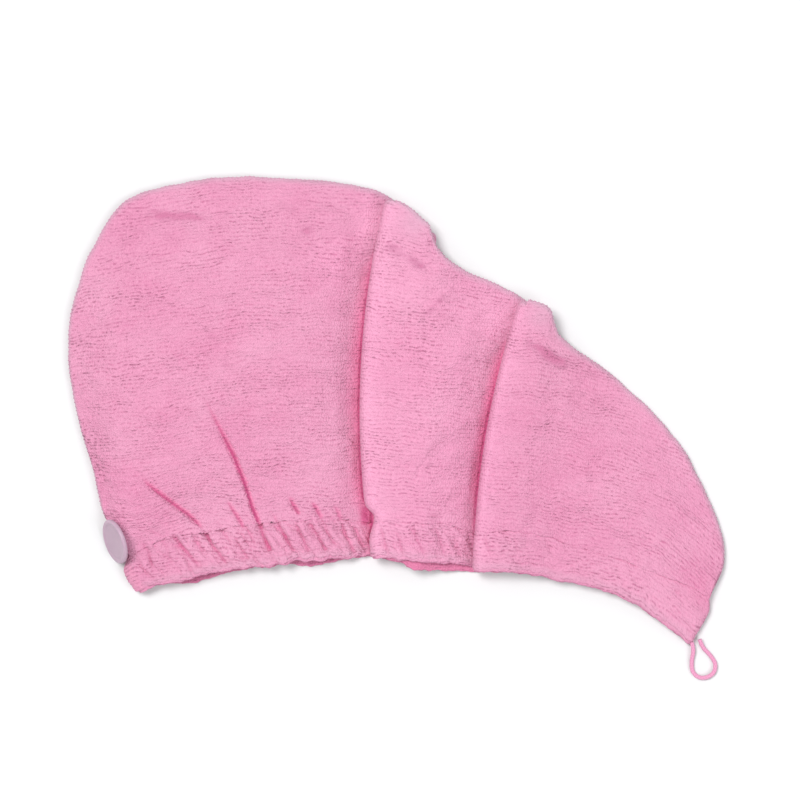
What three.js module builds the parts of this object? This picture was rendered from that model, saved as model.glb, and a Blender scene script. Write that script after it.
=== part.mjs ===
// Hair turban towel, lying flat on its side as it is put away: the cap at the left with its crown up,
// the tail to the right, and the whole double layer turned back on itself twice in Z-shaped pleats.
// Millimetres. X runs to the right along the towel, Y towards the crown, Z up from the surface it lies on.
//
// Two terry side panels meet along one seam that runs from the nape over the crown and down to the tip of
// the tail. Their lower edges are gathered into a casing that runs as one closed ring round the opening.
// A button sits at the nape, and the loop that goes over it comes out of the tip of the tail.
import * as THREE from "three";
import { mergeVertices } from "three/addons/utils/BufferGeometryUtils.js";

// ---- driving sizes ----
const PLY = 2.4; // thickness of a terry panel, and of the casing
const PIECE_GAP = 0.3; // between two pieces that touch
const NEST = 0.6; // between the two panels where they are pressed flat
const TURN_R = 3.1; // radius of the middle of the double layer where it turns back on itself
const LAYER = 2 * TURN_R; // from one layer of a pleat to the next
const EDGE_ROUND = 5; // how far in from the crown seam the rounded edge reaches
const EDGE_GAP = 2; // between the panels just inside the crown seam
const CROWN_TAPER = 60; // over this distance from the seam the cap fills out
const GATHER_DEPTH = 1.1; // of the gathers on the casing
const GATHER_REACH = 30; // how far above the casing the gathers run on

const BUTTON_R = 14.5;
const BUTTON_T = 3;
const BUTTON_RIM = 1.1;
const SHANK_R = 2;
const SHANK_LENGTH = 1.4;
const BUTTON_AT = [-176.5, -71.1, 14.2]; // centre of the disc
const BUTTON_FACES = [-0.83, -0.28, 0.48];

const LOOP_CORD = 2.6; // diameter of the elastic
const LOOP_LENGTH = 24.5;
const LOOP_WIDTH = 15;
const LOOP_ROOT = 5.2; // between the two ends where they leave the tip
const LOOP_AT = [190.8, -134.5, 3];
const LOOP_HEADS = [0.3, -0.954]; // direction in plan


// ---- sections ----
// One row for each ray from the gathered hem to the crown seam. bow: how far the ray's middle lies to the
// right of a straight line. band: height of the casing along the ray. lift: height of the lower face above
// the surface. puff and mouth: gap between the panels at mid height and at the hem. peek: how far the
// lower panel's hem reaches past the upper one's.
const CAP = [
  { at: "nape", hemX: -156.4, hemY: -100.8, crownX: -173.4, crownY: -71, bow: 0, band: 26, lift: 0, puff: 6, mouth: 6, peek: 0 },
  { at: "nape back", hemX: -147.5, hemY: -98.6, crownX: -184.8, crownY: -53.9, bow: 0, band: 28.6, lift: 0, puff: 7.5, mouth: 7, peek: 0 },
  { at: "back low", hemX: -137.4, hemY: -97, crownX: -191.2, crownY: -26.1, bow: 0, band: 31.6, lift: 0, puff: 9, mouth: 7.5, peek: 2 },
  { at: "back middle", hemX: -126, hemY: -94.4, crownX: -200.7, crownY: 6.8, bow: 0, band: 34, lift: 0, puff: 11, mouth: 8, peek: 3.5 },
  { at: "back high", hemX: -114.6, hemY: -91.6, crownX: -207, crownY: 44.8, bow: 0, band: 32.5, lift: 0, puff: 12.5, mouth: 8, peek: 2.5 },
  { at: "back top", hemX: -103.2, hemY: -89.1, crownX: -203.8, crownY: 78.4, bow: 0, band: 30.5, lift: 0, puff: 13.5, mouth: 8, peek: 1 },
  { at: "crown back", hemX: -92.4, hemY: -87.5, crownX: -191.8, crownY: 113.2, bow: 0, band: 30, lift: 0, puff: 14, mouth: 8, peek: 0 },
  { at: "crown rise", hemX: -81.7, hemY: -86.5, crownX: -169, crownY: 141.7, bow: 0, band: 30, lift: 0, puff: 14.5, mouth: 8, peek: 0 },
  { at: "crown top", hemX: -70.9, hemY: -85.3, crownX: -134.8, crownY: 155.6, bow: 0, band: 29.4, lift: 0, puff: 15, mouth: 8, peek: 0 },
  { at: "crown middle", hemX: -59.5, hemY: -84, crownX: -98.1, crownY: 159.4, bow: 0, band: 29, lift: 0, puff: 15, mouth: 8, peek: 3 },
  { at: "crown fore", hemX: -47.5, hemY: -83.4, crownX: -62.7, crownY: 157.5, bow: -1.3, band: 28.9, lift: 0, puff: 13.5, mouth: 8, peek: 3 },
  { at: "before pleat 1", hemX: -34.2, hemY: -82.4, crownX: -32.3, crownY: 155, bow: -5.7, band: 27.8, lift: 0, puff: 9, mouth: 6, peek: 1 },
  { at: "beside pleat 1", hemX: -14.6, hemY: -81.2, crownX: -6.3, crownY: 148, bow: -11.4, band: 24, lift: 0, puff: NEST, mouth: NEST, peek: 0 },
  { at: "turn 1", hemX: -2.5, hemY: -83.7, crownX: 20.9, crownY: 124.6, bow: 0, band: 25, lift: 0, puff: NEST, mouth: NEST, peek: 0 },
];
const MIDDLE = [
  { at: "pleat 1 edge", hemX: -8.9, hemY: -81.2, crownX: -0.6, crownY: 143.6, bow: -11.4, band: 25, lift: 2 * LAYER, puff: NEST, mouth: NEST, peek: 0 },
  { at: "over turn 1", hemX: 1.3, hemY: -82.4, crownX: 12, crownY: 130.9, bow: -6.3, band: 26, lift: 2 * LAYER, puff: 1.6, mouth: 1.2, peek: 1 },
  { at: "past turn 1", hemX: 13.3, hemY: -83.7, crownX: 27.2, crownY: 113.2, bow: -1.9, band: 26.5, lift: 12.2, puff: 2.6, mouth: 2.0, peek: 5 },
  { at: "slope 1", hemX: 28.5, hemY: -84.9, crownX: 46.2, crownY: 99.3, bow: -1.3, band: 27.3, lift: 5, puff: 6, mouth: 4, peek: 5 },
  { at: "beside pleat 2", hemX: 50, hemY: -86.8, crownX: 75.3, crownY: 86, bow: -4.4, band: 22.5, lift: 0, puff: NEST, mouth: NEST, peek: 3 },
  { at: "turn 2", hemX: 60.8, hemY: -87.5, crownX: 95.6, crownY: 72.7, bow: 0, band: 23.5, lift: 0, puff: NEST, mouth: NEST, peek: 0 },
];
const TAIL = [
  { at: "pleat 2 edge", hemX: 55.7, hemY: -88.1, crownX: 81, crownY: 81.5, bow: -4.4, band: 24.5, lift: 2 * LAYER, puff: NEST, mouth: NEST, peek: 0 },
  { at: "over turn 2", hemX: 66.5, hemY: -88.7, crownX: 95, crownY: 67.6, bow: -1.9, band: 27, lift: 2 * LAYER, puff: 2, mouth: 1.5, peek: 0 },
  { at: "slope 2", hemX: 85.5, hemY: -90.6, crownX: 112, crownY: 51.8, bow: 0, band: 26.5, lift: 6, puff: 5, mouth: 3.5, peek: 0 },
  { at: "tail root", hemX: 105.7, hemY: -95.1, crownX: 133.6, crownY: 34.7, bow: 0, band: 25, lift: 0, puff: 9, mouth: 6, peek: 0 },
  { at: "tail middle", hemX: 126, hemY: -100.1, crownX: 156.4, crownY: 14.4, bow: 0, band: 24, lift: 0, puff: 8.5, mouth: 6, peek: 0 },
  { at: "tail low", hemX: 145, hemY: -107.7, crownX: 177.9, crownY: -9.6, bow: 0, band: 24.5, lift: 0, puff: 7, mouth: 5.5, peek: 0 },
  { at: "tail bend", hemX: 161.4, hemY: -117.2, crownX: 195.6, crownY: -41.3, bow: 0, band: 28, lift: 0, puff: 5.2, mouth: 4.2, peek: 0 },
  { at: "tail end", hemX: 175.3, hemY: -127.4, crownX: 207, crownY: -75.5, bow: 0, band: 32.4, lift: 0, puff: 3.5, mouth: 3, peek: 0 },
  { at: "tip", hemX: 184.2, hemY: -134.3, crownX: 200.7, crownY: -102, bow: 0, band: 32, lift: 0, puff: 2, mouth: 2, peek: 0 },
];

// ---- folds pressed into the upper panel: a straight valley from (x0, y0) to (x1, y1) each ----
const VALLEYS = [
  { fold: "long fold at the gathers", x0: -117.1, y0: 11.9, x1: -101.3, y1: -26.1, width: 8, depth: 3.5 },
  { fold: "long fold, lower end", x0: -101.3, y0: -26.1, x1: -87.4, y1: -57.7, width: 7, depth: 4 },
  { fold: "nape fold", x0: -151.9, y0: -38.7, x1: -120.9, y1: -62.8, width: 7, depth: 2.5 },
  { fold: "before the first pleat", x0: -27.2, y0: 39.1, x1: -50, y1: 13.2, width: 9, depth: 1.6 },
  { fold: "below the first corner", x0: -3.2, y0: 117.6, x1: 22.2, y1: 97.4, width: 8, depth: 1.6 },
  { fold: "across the middle panel", x0: 42.4, y0: 97.4, x1: 5.1, y1: 54.9, width: 8, depth: 1.5 },
  { fold: "middle panel, low", x0: 47.5, y0: -0.8, x1: 19, y1: -16.6, width: 8, depth: 1.2 },
  { fold: "below the second corner", x0: 82.3, y0: 59.4, x1: 115.8, y1: 37.2, width: 9, depth: 2 },
  { fold: "along the tail's crown", x0: 129.8, y0: 21.4, x1: 155.1, y1: -13.4, width: 10, depth: 1.5 },
];

// ---- rows of facets, counted from the crown seam: the nearer of a distance and a share of the ray ----
const FACET_ROWS = [
  { from: 0, share: 0 },
  { from: 1, share: 0.04 },
  { from: 3.2, share: 0.1 },
  { from: 8, share: 0.18 },
  { from: 20, share: 0.3 },
  { from: 44, share: 0.44 },
  { from: 84, share: 0.58 },
  { from: 128, share: 0.72 },
  { from: 176, share: 0.86 },
  { from: Infinity, share: 1 },
];
const FACETS = { cap: 3, middle: 2, tail: 2, turn: 5, back: 2, end: 5 };

// ---- helpers ----
const clamp01 = (t) => Math.min(Math.max(t, 0), 1);
const smooth = (t) => {
  const c = clamp01(t);
  return c * c * (3 - 2 * c);
};

// A smooth curve through equally spaced values; monotone never overshoots them.
function through(values, u, monotone) {
  const last = values.length - 1;
  const i = Math.min(Math.floor(u), last - 1);
  const t = u - i;
  const step = (k) => values[k + 1] - values[k];
  const slope = (k) => {
    if (k === 0) return monotone ? 0 : step(0);
    if (k === last) return monotone ? 0 : step(last - 1);
    const a = step(k - 1);
    const b = step(k);
    if (!monotone) return (a + b) / 2;
    return a * b <= 0 ? 0 : (2 * a * b) / (a + b);
  };
  const t2 = t * t;
  const t3 = t2 * t;
  return (
    (2 * t3 - 3 * t2 + 1) * values[i] +
    (t3 - 2 * t2 + t) * slope(i) +
    (3 * t2 - 2 * t3) * values[i + 1] +
    (t3 - t2) * slope(i + 1)
  );
}

function sectionAt(rows, u) {
  const section = {};
  for (const key of ["hemX", "hemY", "crownX", "crownY", "bow"])
    section[key] = through(rows.map((row) => row[key]), u, false);
  for (const key of ["band", "lift", "puff", "mouth", "peek"])
    section[key] = through(rows.map((row) => row[key]), u, true);
  return section;
}

function between(a, b, t) {
  const section = {};
  for (const key of Object.keys(a))
    if (typeof a[key] === "number") section[key] = a[key] + (b[key] - a[key]) * t;
  return section;
}

const rayLength = (s) => Math.hypot(s.crownX - s.hemX, s.crownY - s.hemY);

// Plan position at distance r from the hem along a section's bowed ray.
function plan(s, r) {
  const length = rayLength(s);
  const dx = (s.crownX - s.hemX) / length;
  const dy = (s.crownY - s.hemY) / length;
  const bow = s.bow * 4 * (r / length) * (1 - r / length);
  return [s.hemX + dx * r + dy * bow, s.hemY + dy * r - dx * bow];
}

// Unit vector in plan, square to the ray and pointing to its right.
function rightOf(s, r) {
  const [ax, ay] = plan(s, r - 0.5);
  const [bx, by] = plan(s, r + 0.5);
  const length = Math.hypot(bx - ax, by - ay);
  return [(by - ay) / length, -(bx - ax) / length];
}

// Gap between the two panels at distance r from the hem.
function gapAt(s, r) {
  const length = rayLength(s);
  const above = (r - s.band) / (length - s.band);
  const open = s.mouth + (s.puff - s.mouth) * smooth(above / 0.3);
  const edge = Math.min(EDGE_GAP, s.puff);
  const taper = Math.min(CROWN_TAPER, 0.6 * (length - s.band));
  return edge + (open - edge) * smooth((length - r) / taper);
}

function valleyDepth(x, y) {
  let depth = 0;
  for (const v of VALLEYS) {
    const dx = v.x1 - v.x0;
    const dy = v.y1 - v.y0;
    const along = ((x - v.x0) * dx + (y - v.y0) * dy) / (dx * dx + dy * dy);
    const near = clamp01(along);
    const off = Math.hypot(x - v.x0 - dx * near, y - v.y0 - dy * near);
    depth = Math.max(depth, v.depth * Math.exp(-((off / v.width) ** 2)));
  }
  return depth;
}

// The gathers: a valley between each two sections of the cap, fading out above the casing.
function gatherDepth(column, r) {
  if (column.gather === undefined) return 0;
  const wave = 0.5 - 0.5 * Math.cos(2 * Math.PI * column.gather);
  return GATHER_DEPTH * wave * smooth((column.section.band + GATHER_REACH - r) / GATHER_REACH);
}

// ---- the towel's surface ----
// A column is one ray with the way the double layer faces there: up (+1) on the visible panels, down (-1)
// on the layer that is folded back, or turning between the two round a pleat's edge.
function columnsOf() {
  const columns = [];
  const run = (rows, steps, gathered) => {
    for (let k = 0; k <= (rows.length - 1) * steps; k++) {
      const u = k / steps;
      columns.push({ section: sectionAt(rows, u), face: 1, gather: gathered && u > 3 && u < 12 ? u : undefined });
    }
  };
  const turn = (section, side, from) => {
    for (let k = 1; k <= FACETS.turn; k++) {
      const angle = (Math.PI * k) / FACETS.turn;
      columns.push({ section: { ...section, lift: from }, face: side, turn: angle });
    }
  };
  const back = (a, b) => {
    for (let k = 1; k <= FACETS.back; k++)
      columns.push({ section: { ...between(a, b, k / FACETS.back), lift: LAYER }, face: -1 });
  };
  run(CAP, FACETS.cap, true);
  turn(CAP.at(-1), 1, 0);
  back(CAP.at(-1), MIDDLE[0]);
  turn(MIDDLE[0], -1, LAYER);
  columns.pop();
  run(MIDDLE, FACETS.middle, false);
  turn(MIDDLE.at(-1), 1, 0);
  back(MIDDLE.at(-1), TAIL[0]);
  turn(TAIL[0], -1, LAYER);
  columns.pop();
  run(TAIL, FACETS.tail, false);
  return columns;
}
const COLUMNS = columnsOf();

// A point at distance r up a column, and across the double layer: across is measured from its middle,
// positive towards the upper panel.
function place(column, r, across) {
  const s = column.section;
  const length = rayLength(s);
  const gap = gapAt(s, r);
  const middle = s.lift + PLY + gap / 2;
  let [x, y] = plan(s, r);
  if (across < 0) {
    const slip = s.peek * (1 - r / length);
    x -= ((s.crownX - s.hemX) / length) * slip;
    y -= ((s.crownY - s.hemY) / length) * slip;
  }
  if (column.turn !== undefined) {
    const [rx, ry] = rightOf(s, r);
    const reach = (column.face * TURN_R - across) * Math.sin(column.turn);
    return [
      x + rx * reach,
      y + ry * reach,
      middle + TURN_R * (1 - Math.cos(column.turn)) + column.face * across * Math.cos(column.turn),
    ];
  }
  let z = middle + column.face * across;
  if (column.face > 0 && across > 0) {
    const spare = Math.max(0, gap - NEST);
    const wanted = valleyDepth(x, y) + gatherDepth(column, r);
    z -= 0.8 * spare * (1 - Math.exp(-wanted / Math.max(spare, 0.01))) * smooth((length - r) / 18);
  }
  return [x, y, z];
}

const roundEdge = (e) => {
  const t = clamp01(e / EDGE_ROUND);
  return Math.sqrt(1 - (1 - t) ** 2);
};

// ---- building closed meshes from rings or grids of points ----
function meshOf(name, points, triangles, material) {
  let volume = 0;
  for (const [a, b, c] of triangles) {
    const [p, q, w] = [points[a], points[b], points[c]];
    volume += p[0] * (q[1] * w[2] - q[2] * w[1]) - p[1] * (q[0] * w[2] - q[2] * w[0]) + p[2] * (q[0] * w[1] - q[1] * w[0]);
  }
  const index = triangles.flatMap(([a, b, c]) => (volume < 0 ? [a, c, b] : [a, b, c]));
  const geometry = new THREE.BufferGeometry();
  geometry.setAttribute("position", new THREE.BufferAttribute(new Float32Array(points.flat()), 3));
  geometry.setIndex(index);
  const merged = mergeVertices(geometry, 1e-4);
  merged.computeVertexNormals();
  const mesh = new THREE.Mesh(merged, material);
  mesh.name = name;
  return mesh;
}

// A side panel: its outer and inner faces share the edge at the crown seam.
function sidePanel(name, side, material) {
  const points = [];
  const at = (column, row, face) => (column * FACET_ROWS.length + row) * 2 + face;
  COLUMNS.forEach((column) => {
    const s = column.section;
    const length = rayLength(s);
    const run = length - s.band - PIECE_GAP;
    FACET_ROWS.forEach((row) => {
      const e = Math.min(row.from, row.share * run);
      const r = length - e;
      const gap = gapAt(s, r);
      const seam = PIECE_GAP / 2;
      const outer = seam + (PLY + gap / 2 - seam) * roundEdge(e);
      const inner = seam + (gap / 2 - seam) * roundEdge(Math.max(0, e - 1.6));
      points.push(place(column, r, side * outer), place(column, r, side * inner));
    });
  });
  const triangles = [];
  const quad = (a, b, c, d) => triangles.push([a, b, c], [a, c, d]);
  const rows = FACET_ROWS.length;
  for (let c = 0; c + 1 < COLUMNS.length; c++) {
    for (let r = 0; r + 1 < rows; r++) {
      quad(at(c, r, 0), at(c, r + 1, 0), at(c + 1, r + 1, 0), at(c + 1, r, 0));
      quad(at(c, r, 1), at(c + 1, r, 1), at(c + 1, r + 1, 1), at(c, r + 1, 1));
    }
    quad(at(c, rows - 1, 0), at(c, rows - 1, 1), at(c + 1, rows - 1, 1), at(c + 1, rows - 1, 0));
  }
  for (const c of [0, COLUMNS.length - 1])
    for (let r = 0; r + 1 < rows; r++) {
      const [a, b, d, e] = [at(c, r, 0), at(c, r, 1), at(c, r + 1, 1), at(c, r + 1, 0)];
      if (c === 0) quad(a, b, d, e);
      else quad(a, e, d, b);
    }
  // the two faces meet in one edge at the seam
  const shared = new Map();
  const same = points.map((p, i) => {
    const key = i % (2 * rows) < 2 ? Math.floor(i / (2 * rows)) : -1;
    if (key < 0) return i;
    if (!shared.has(key)) shared.set(key, i);
    return shared.get(key);
  });
  const kept = triangles
    .map((t) => t.map((i) => same[i]))
    .filter(([a, b, c]) => a !== b && b !== c && a !== c);
  return meshOf(name, points, kept, material);
}

// The casing: one closed ring, along the upper panel, round the tip, back along the lower panel and
// round the nape.
function casing(name, material) {
  const rings = [];
  const slice = (s) => [
    [s.band, PLY],
    [2.4, PLY],
    [0, 0.68 * PLY],
    [0, 0.32 * PLY],
    [2.4, 0],
    [s.band, 0],
  ];
  const along = (side) => (column) =>
    slice(column.section).map(([r, thick]) =>
      place(column, r, side * (gapAt(column.section, Math.min(r, column.section.band)) / 2 + thick)),
    );
  const roundEnd = (column, side, order) => {
    for (const k of order) {
      const angle = (Math.PI * k) / FACETS.end;
      const s = column.section;
      rings.push(
        slice(s).map(([r, thick]) => {
          const gap = gapAt(s, r);
          const radius = gap / 2 + thick;
          const [x, y] = plan(s, r);
          const [rx, ry] = rightOf(s, r);
          const out = side * radius * Math.sin(angle);
          return [x + rx * out, y + ry * out, s.lift + PLY + gap / 2 + radius * Math.cos(angle)];
        }),
      );
    }
  };
  const steps = Array.from({ length: FACETS.end - 1 }, (_, k) => k + 1);
  rings.push(...COLUMNS.map(along(1)));
  roundEnd(COLUMNS.at(-1), 1, steps);
  rings.push(...[...COLUMNS].reverse().map(along(-1)));
  roundEnd(COLUMNS[0], -1, [...steps].reverse());
  const points = rings.flat();
  const n = rings[0].length;
  const triangles = [];
  for (let i = 0; i < rings.length; i++)
    for (let k = 0; k < n; k++) {
      const [a, b] = [i * n + k, i * n + ((k + 1) % n)];
      const j = (i + 1) % rings.length;
      const [c, d] = [j * n + ((k + 1) % n), j * n + k];
      triangles.push([a, b, c], [a, c, d]);
    }
  return meshOf(name, points, triangles, material);
}

// The button: a plain disc with a rounded rim on a short shank.
function button(name, material) {
  const half = BUTTON_T / 2;
  const rim = [];
  for (let k = 0; k <= 4; k++) {
    const a = (Math.PI * k) / 4 - Math.PI / 2;
    rim.push(new THREE.Vector2(BUTTON_R - BUTTON_RIM + BUTTON_RIM * Math.cos(a), half * Math.sin(a)));
  }
  const profile = [
    new THREE.Vector2(0, -half - SHANK_LENGTH),
    new THREE.Vector2(SHANK_R, -half - SHANK_LENGTH),
    new THREE.Vector2(SHANK_R, -half),
    ...rim,
    new THREE.Vector2(0, half),
  ];
  const mesh = new THREE.Mesh(new THREE.LatheGeometry(profile, 24), material);
  mesh.quaternion.setFromUnitVectors(new THREE.Vector3(0, 1, 0), new THREE.Vector3(...BUTTON_FACES).normalize());
  mesh.position.set(...BUTTON_AT);
  mesh.name = name;
  return mesh;
}

// The loop: round elastic that leaves the tip as two ends side by side and lies on the surface.
function tailLoop(name, material) {
  const [hx, hy] = LOOP_HEADS;
  const norm = Math.hypot(hx, hy);
  const [dx, dy] = [hx / norm, hy / norm];
  const low = LOOP_CORD / 2 + 0.2;
  const route = [
    { along: 0, across: 0.5 * LOOP_ROOT },
    { along: 0.22, across: 0.62 * LOOP_ROOT },
    { along: 0.5, across: 0.42 * LOOP_WIDTH },
    { along: 0.74, across: 0.5 * LOOP_WIDTH },
    { along: 0.93, across: 0.34 * LOOP_WIDTH },
    { along: 1, across: 0 },
  ];
  const both = [...route, ...route.slice(0, -1).reverse().map((p) => ({ along: p.along, across: -p.across }))];
  const points = both.map(
    ({ along, across }) =>
      new THREE.Vector3(
        LOOP_AT[0] + dx * along * LOOP_LENGTH - dy * across,
        LOOP_AT[1] + dy * along * LOOP_LENGTH + dx * across,
        low + (LOOP_AT[2] - low) * (1 - smooth(along / 0.6)),
      ),
  );
  const section = new THREE.Shape();
  for (let k = 0; k < 8; k++) {
    const a = (2 * Math.PI * (k + 0.5)) / 8;
    const p = [(LOOP_CORD / 2) * Math.cos(a), (LOOP_CORD / 2) * Math.sin(a)];
    if (k === 0) section.moveTo(...p);
    else section.lineTo(...p);
  }
  section.closePath();
  const geometry = new THREE.ExtrudeGeometry(section, {
    steps: 24,
    bevelEnabled: false,
    extrudePath: new THREE.CatmullRomCurve3(points, false, "centripetal"),
  });
  const mesh = new THREE.Mesh(geometry, material);
  mesh.name = name;
  return mesh;
}

// ---- materials ----
const terry = new THREE.MeshStandardMaterial({ color: 0xee9fc4, roughness: 0.95, metalness: 0 });
const terryUnder = new THREE.MeshStandardMaterial({ color: 0xe48fb8, roughness: 0.95, metalness: 0 });
const terryCasing = new THREE.MeshStandardMaterial({ color: 0xec9ac1, roughness: 0.95, metalness: 0 });
const plastic = new THREE.MeshStandardMaterial({ color: 0xccb0c4, roughness: 0.45, metalness: 0 });
const elastic = new THREE.MeshStandardMaterial({ color: 0xe79ac0, roughness: 0.8, metalness: 0 });

const towel = new THREE.Group();
towel.add(
  sidePanel("upper_panel", 1, terry),
  sidePanel("under_panel", -1, terryUnder),
  casing("hem_casing", terryCasing),
  button("button", plastic),
  tailLoop("tail_loop", elastic),
);

export default towel;
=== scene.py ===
import math

import bpy
import numpy as np
from mathutils import Matrix, Vector


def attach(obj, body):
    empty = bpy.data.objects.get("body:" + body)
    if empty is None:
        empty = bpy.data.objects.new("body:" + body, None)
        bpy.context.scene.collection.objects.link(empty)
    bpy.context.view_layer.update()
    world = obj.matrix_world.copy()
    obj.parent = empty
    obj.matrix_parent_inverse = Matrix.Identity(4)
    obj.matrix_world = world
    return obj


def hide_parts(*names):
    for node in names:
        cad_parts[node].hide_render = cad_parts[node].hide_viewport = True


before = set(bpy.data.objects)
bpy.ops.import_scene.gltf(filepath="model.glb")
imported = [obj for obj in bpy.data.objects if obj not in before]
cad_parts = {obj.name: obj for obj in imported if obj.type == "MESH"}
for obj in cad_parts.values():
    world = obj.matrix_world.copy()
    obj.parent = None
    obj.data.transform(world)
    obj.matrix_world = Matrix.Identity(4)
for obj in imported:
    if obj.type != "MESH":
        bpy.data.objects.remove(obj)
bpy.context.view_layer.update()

MM = 0.001

# ---------------------------------------------------------------- driving sizes
PLY = 2.4
PIECE_GAP = 0.3
NEST = 0.6
TURN_R = 3.1
LAYER = 2 * TURN_R
EDGE_ROUND = 5.0
EDGE_GAP = 2.0
CROWN_TAPER = 60.0

PINCH = 5.2
PINCH_AT = 26.5

RIB_PITCH = 2.25  # from one terry rib to the next
RIB_DEPTH = 0.62

BUTTON_R = 14.5
BUTTON_T = 3.0
BUTTON_AT = (-176.5, -71.1, 14.2)
BUTTON_FACES = (-0.83, -0.28, 0.48)

LOOP_CORD = 2.6
LOOP_LENGTH = 24.5
LOOP_WIDTH = 15.0
LOOP_ROOT = 5.2
LOOP_AT = (190.8, -134.5, 3.0)
LOOP_HEADS = (0.3, -0.954)

# the photograph's pixels in the model's frame: x = (px - 395) * PX, y = (428.8 - py) * PX
PX = 0.633


def px(x, y):
    return ((x - 395.0) * PX, (428.8 - y) * PX)


# ---------------------------------------------------------------- sections
# one row for each ray from the hem to the crown seam, as in the part
KEYS = ("hemX", "hemY", "crownX", "crownY", "bow", "band", "lift", "puff", "mouth", "peek")
SMOOTH_KEYS = KEYS[:5]
CAP = [
    (-156.4, -100.8, -173.4, -71.0, 0, 26.0, 0, 6, 6, 0),
    (-147.5, -98.6, -184.8, -53.9, 0, 28.6, 0, 7.5, 7, 0),
    (-137.4, -97.0, -191.2, -26.1, 0, 31.6, 0, 9, 7.5, 2),
    (-126.0, -94.4, -200.7, 6.8, 0, 34.0, 0, 11, 8, 3.5),
    (-114.6, -91.6, -207.0, 44.8, 0, 32.5, 0, 12.5, 8, 2.5),
    (-103.2, -89.1, -203.8, 78.4, 0, 30.5, 0, 13.5, 8, 1),
    (-92.4, -87.5, -191.8, 113.2, 0, 30.0, 0, 14, 8, 0),
    (-81.7, -86.5, -169.0, 141.7, 0, 30.0, 0, 14.5, 8, 0),
    (-70.9, -85.3, -134.8, 155.6, 0, 29.4, 0, 15, 8, 0),
    (-59.5, -84.0, -98.1, 159.4, 0, 29.0, 0, 15, 8, 3),
    (-47.5, -83.4, -62.7, 157.5, -1.3, 28.9, 0, 13.5, 8, 3),
    (-34.2, -82.4, -32.3, 155.0, -5.7, 27.8, 0, 9, 6, 1),
    (-14.6, -81.2, -6.3, 148.0, -11.4, 24.0, 0, NEST, NEST, 0),
    (-2.5, -83.7, 20.9, 124.6, 0, 25.0, 0, NEST, NEST, 0),
]
MIDDLE = [
    (-8.9, -81.2, -0.6, 143.6, -11.4, 25.0, 2 * LAYER, NEST, NEST, 0),
    (1.3, -82.4, 12.0, 130.9, -6.3, 26.0, 2 * LAYER, 1.6, 1.2, 1),
    (13.3, -83.7, 27.2, 113.2, -1.9, 26.5, 12.2, 2.6, 2.0, 5),
    (28.5, -84.9, 46.2, 99.3, -1.3, 27.3, 5, 6, 4, 5),
    (50.0, -86.8, 75.3, 86.0, -4.4, 22.5, 0, NEST, NEST, 3),
    (60.8, -87.5, 95.6, 72.7, 0, 23.5, 0, NEST, NEST, 0),
]
TAIL = [
    (55.7, -88.1, 84.0, 79.5, -6.6, 24.5, 2 * LAYER, NEST, NEST, 0),
    (66.5, -88.7, 95.0, 67.6, -1.9, 27.0, 2 * LAYER, 2, 1.5, 0),
    (85.5, -90.6, 112.0, 51.8, 0, 26.5, 6, 5, 3.5, 0),
    (105.7, -95.1, 133.6, 34.7, 0, 25.0, 0, 9, 6, 0),
    (126.0, -100.1, 156.4, 14.4, 0, 24.0, 0, 8.5, 6, 0),
    (145.0, -107.7, 177.9, -9.6, 0, 24.5, 0, 7, 5.5, 0),
    (161.4, -117.2, 195.6, -41.3, 0, 28.0, 0, 5.2, 4.2, 0),
    (175.3, -127.4, 207.0, -75.5, 0.8, 32.4, 0, 3.5, 3, 0),
    (184.2, -134.3, 201.6, -101.2, 0.6, 31.5, 0, 2, 2, 0),
]

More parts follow.
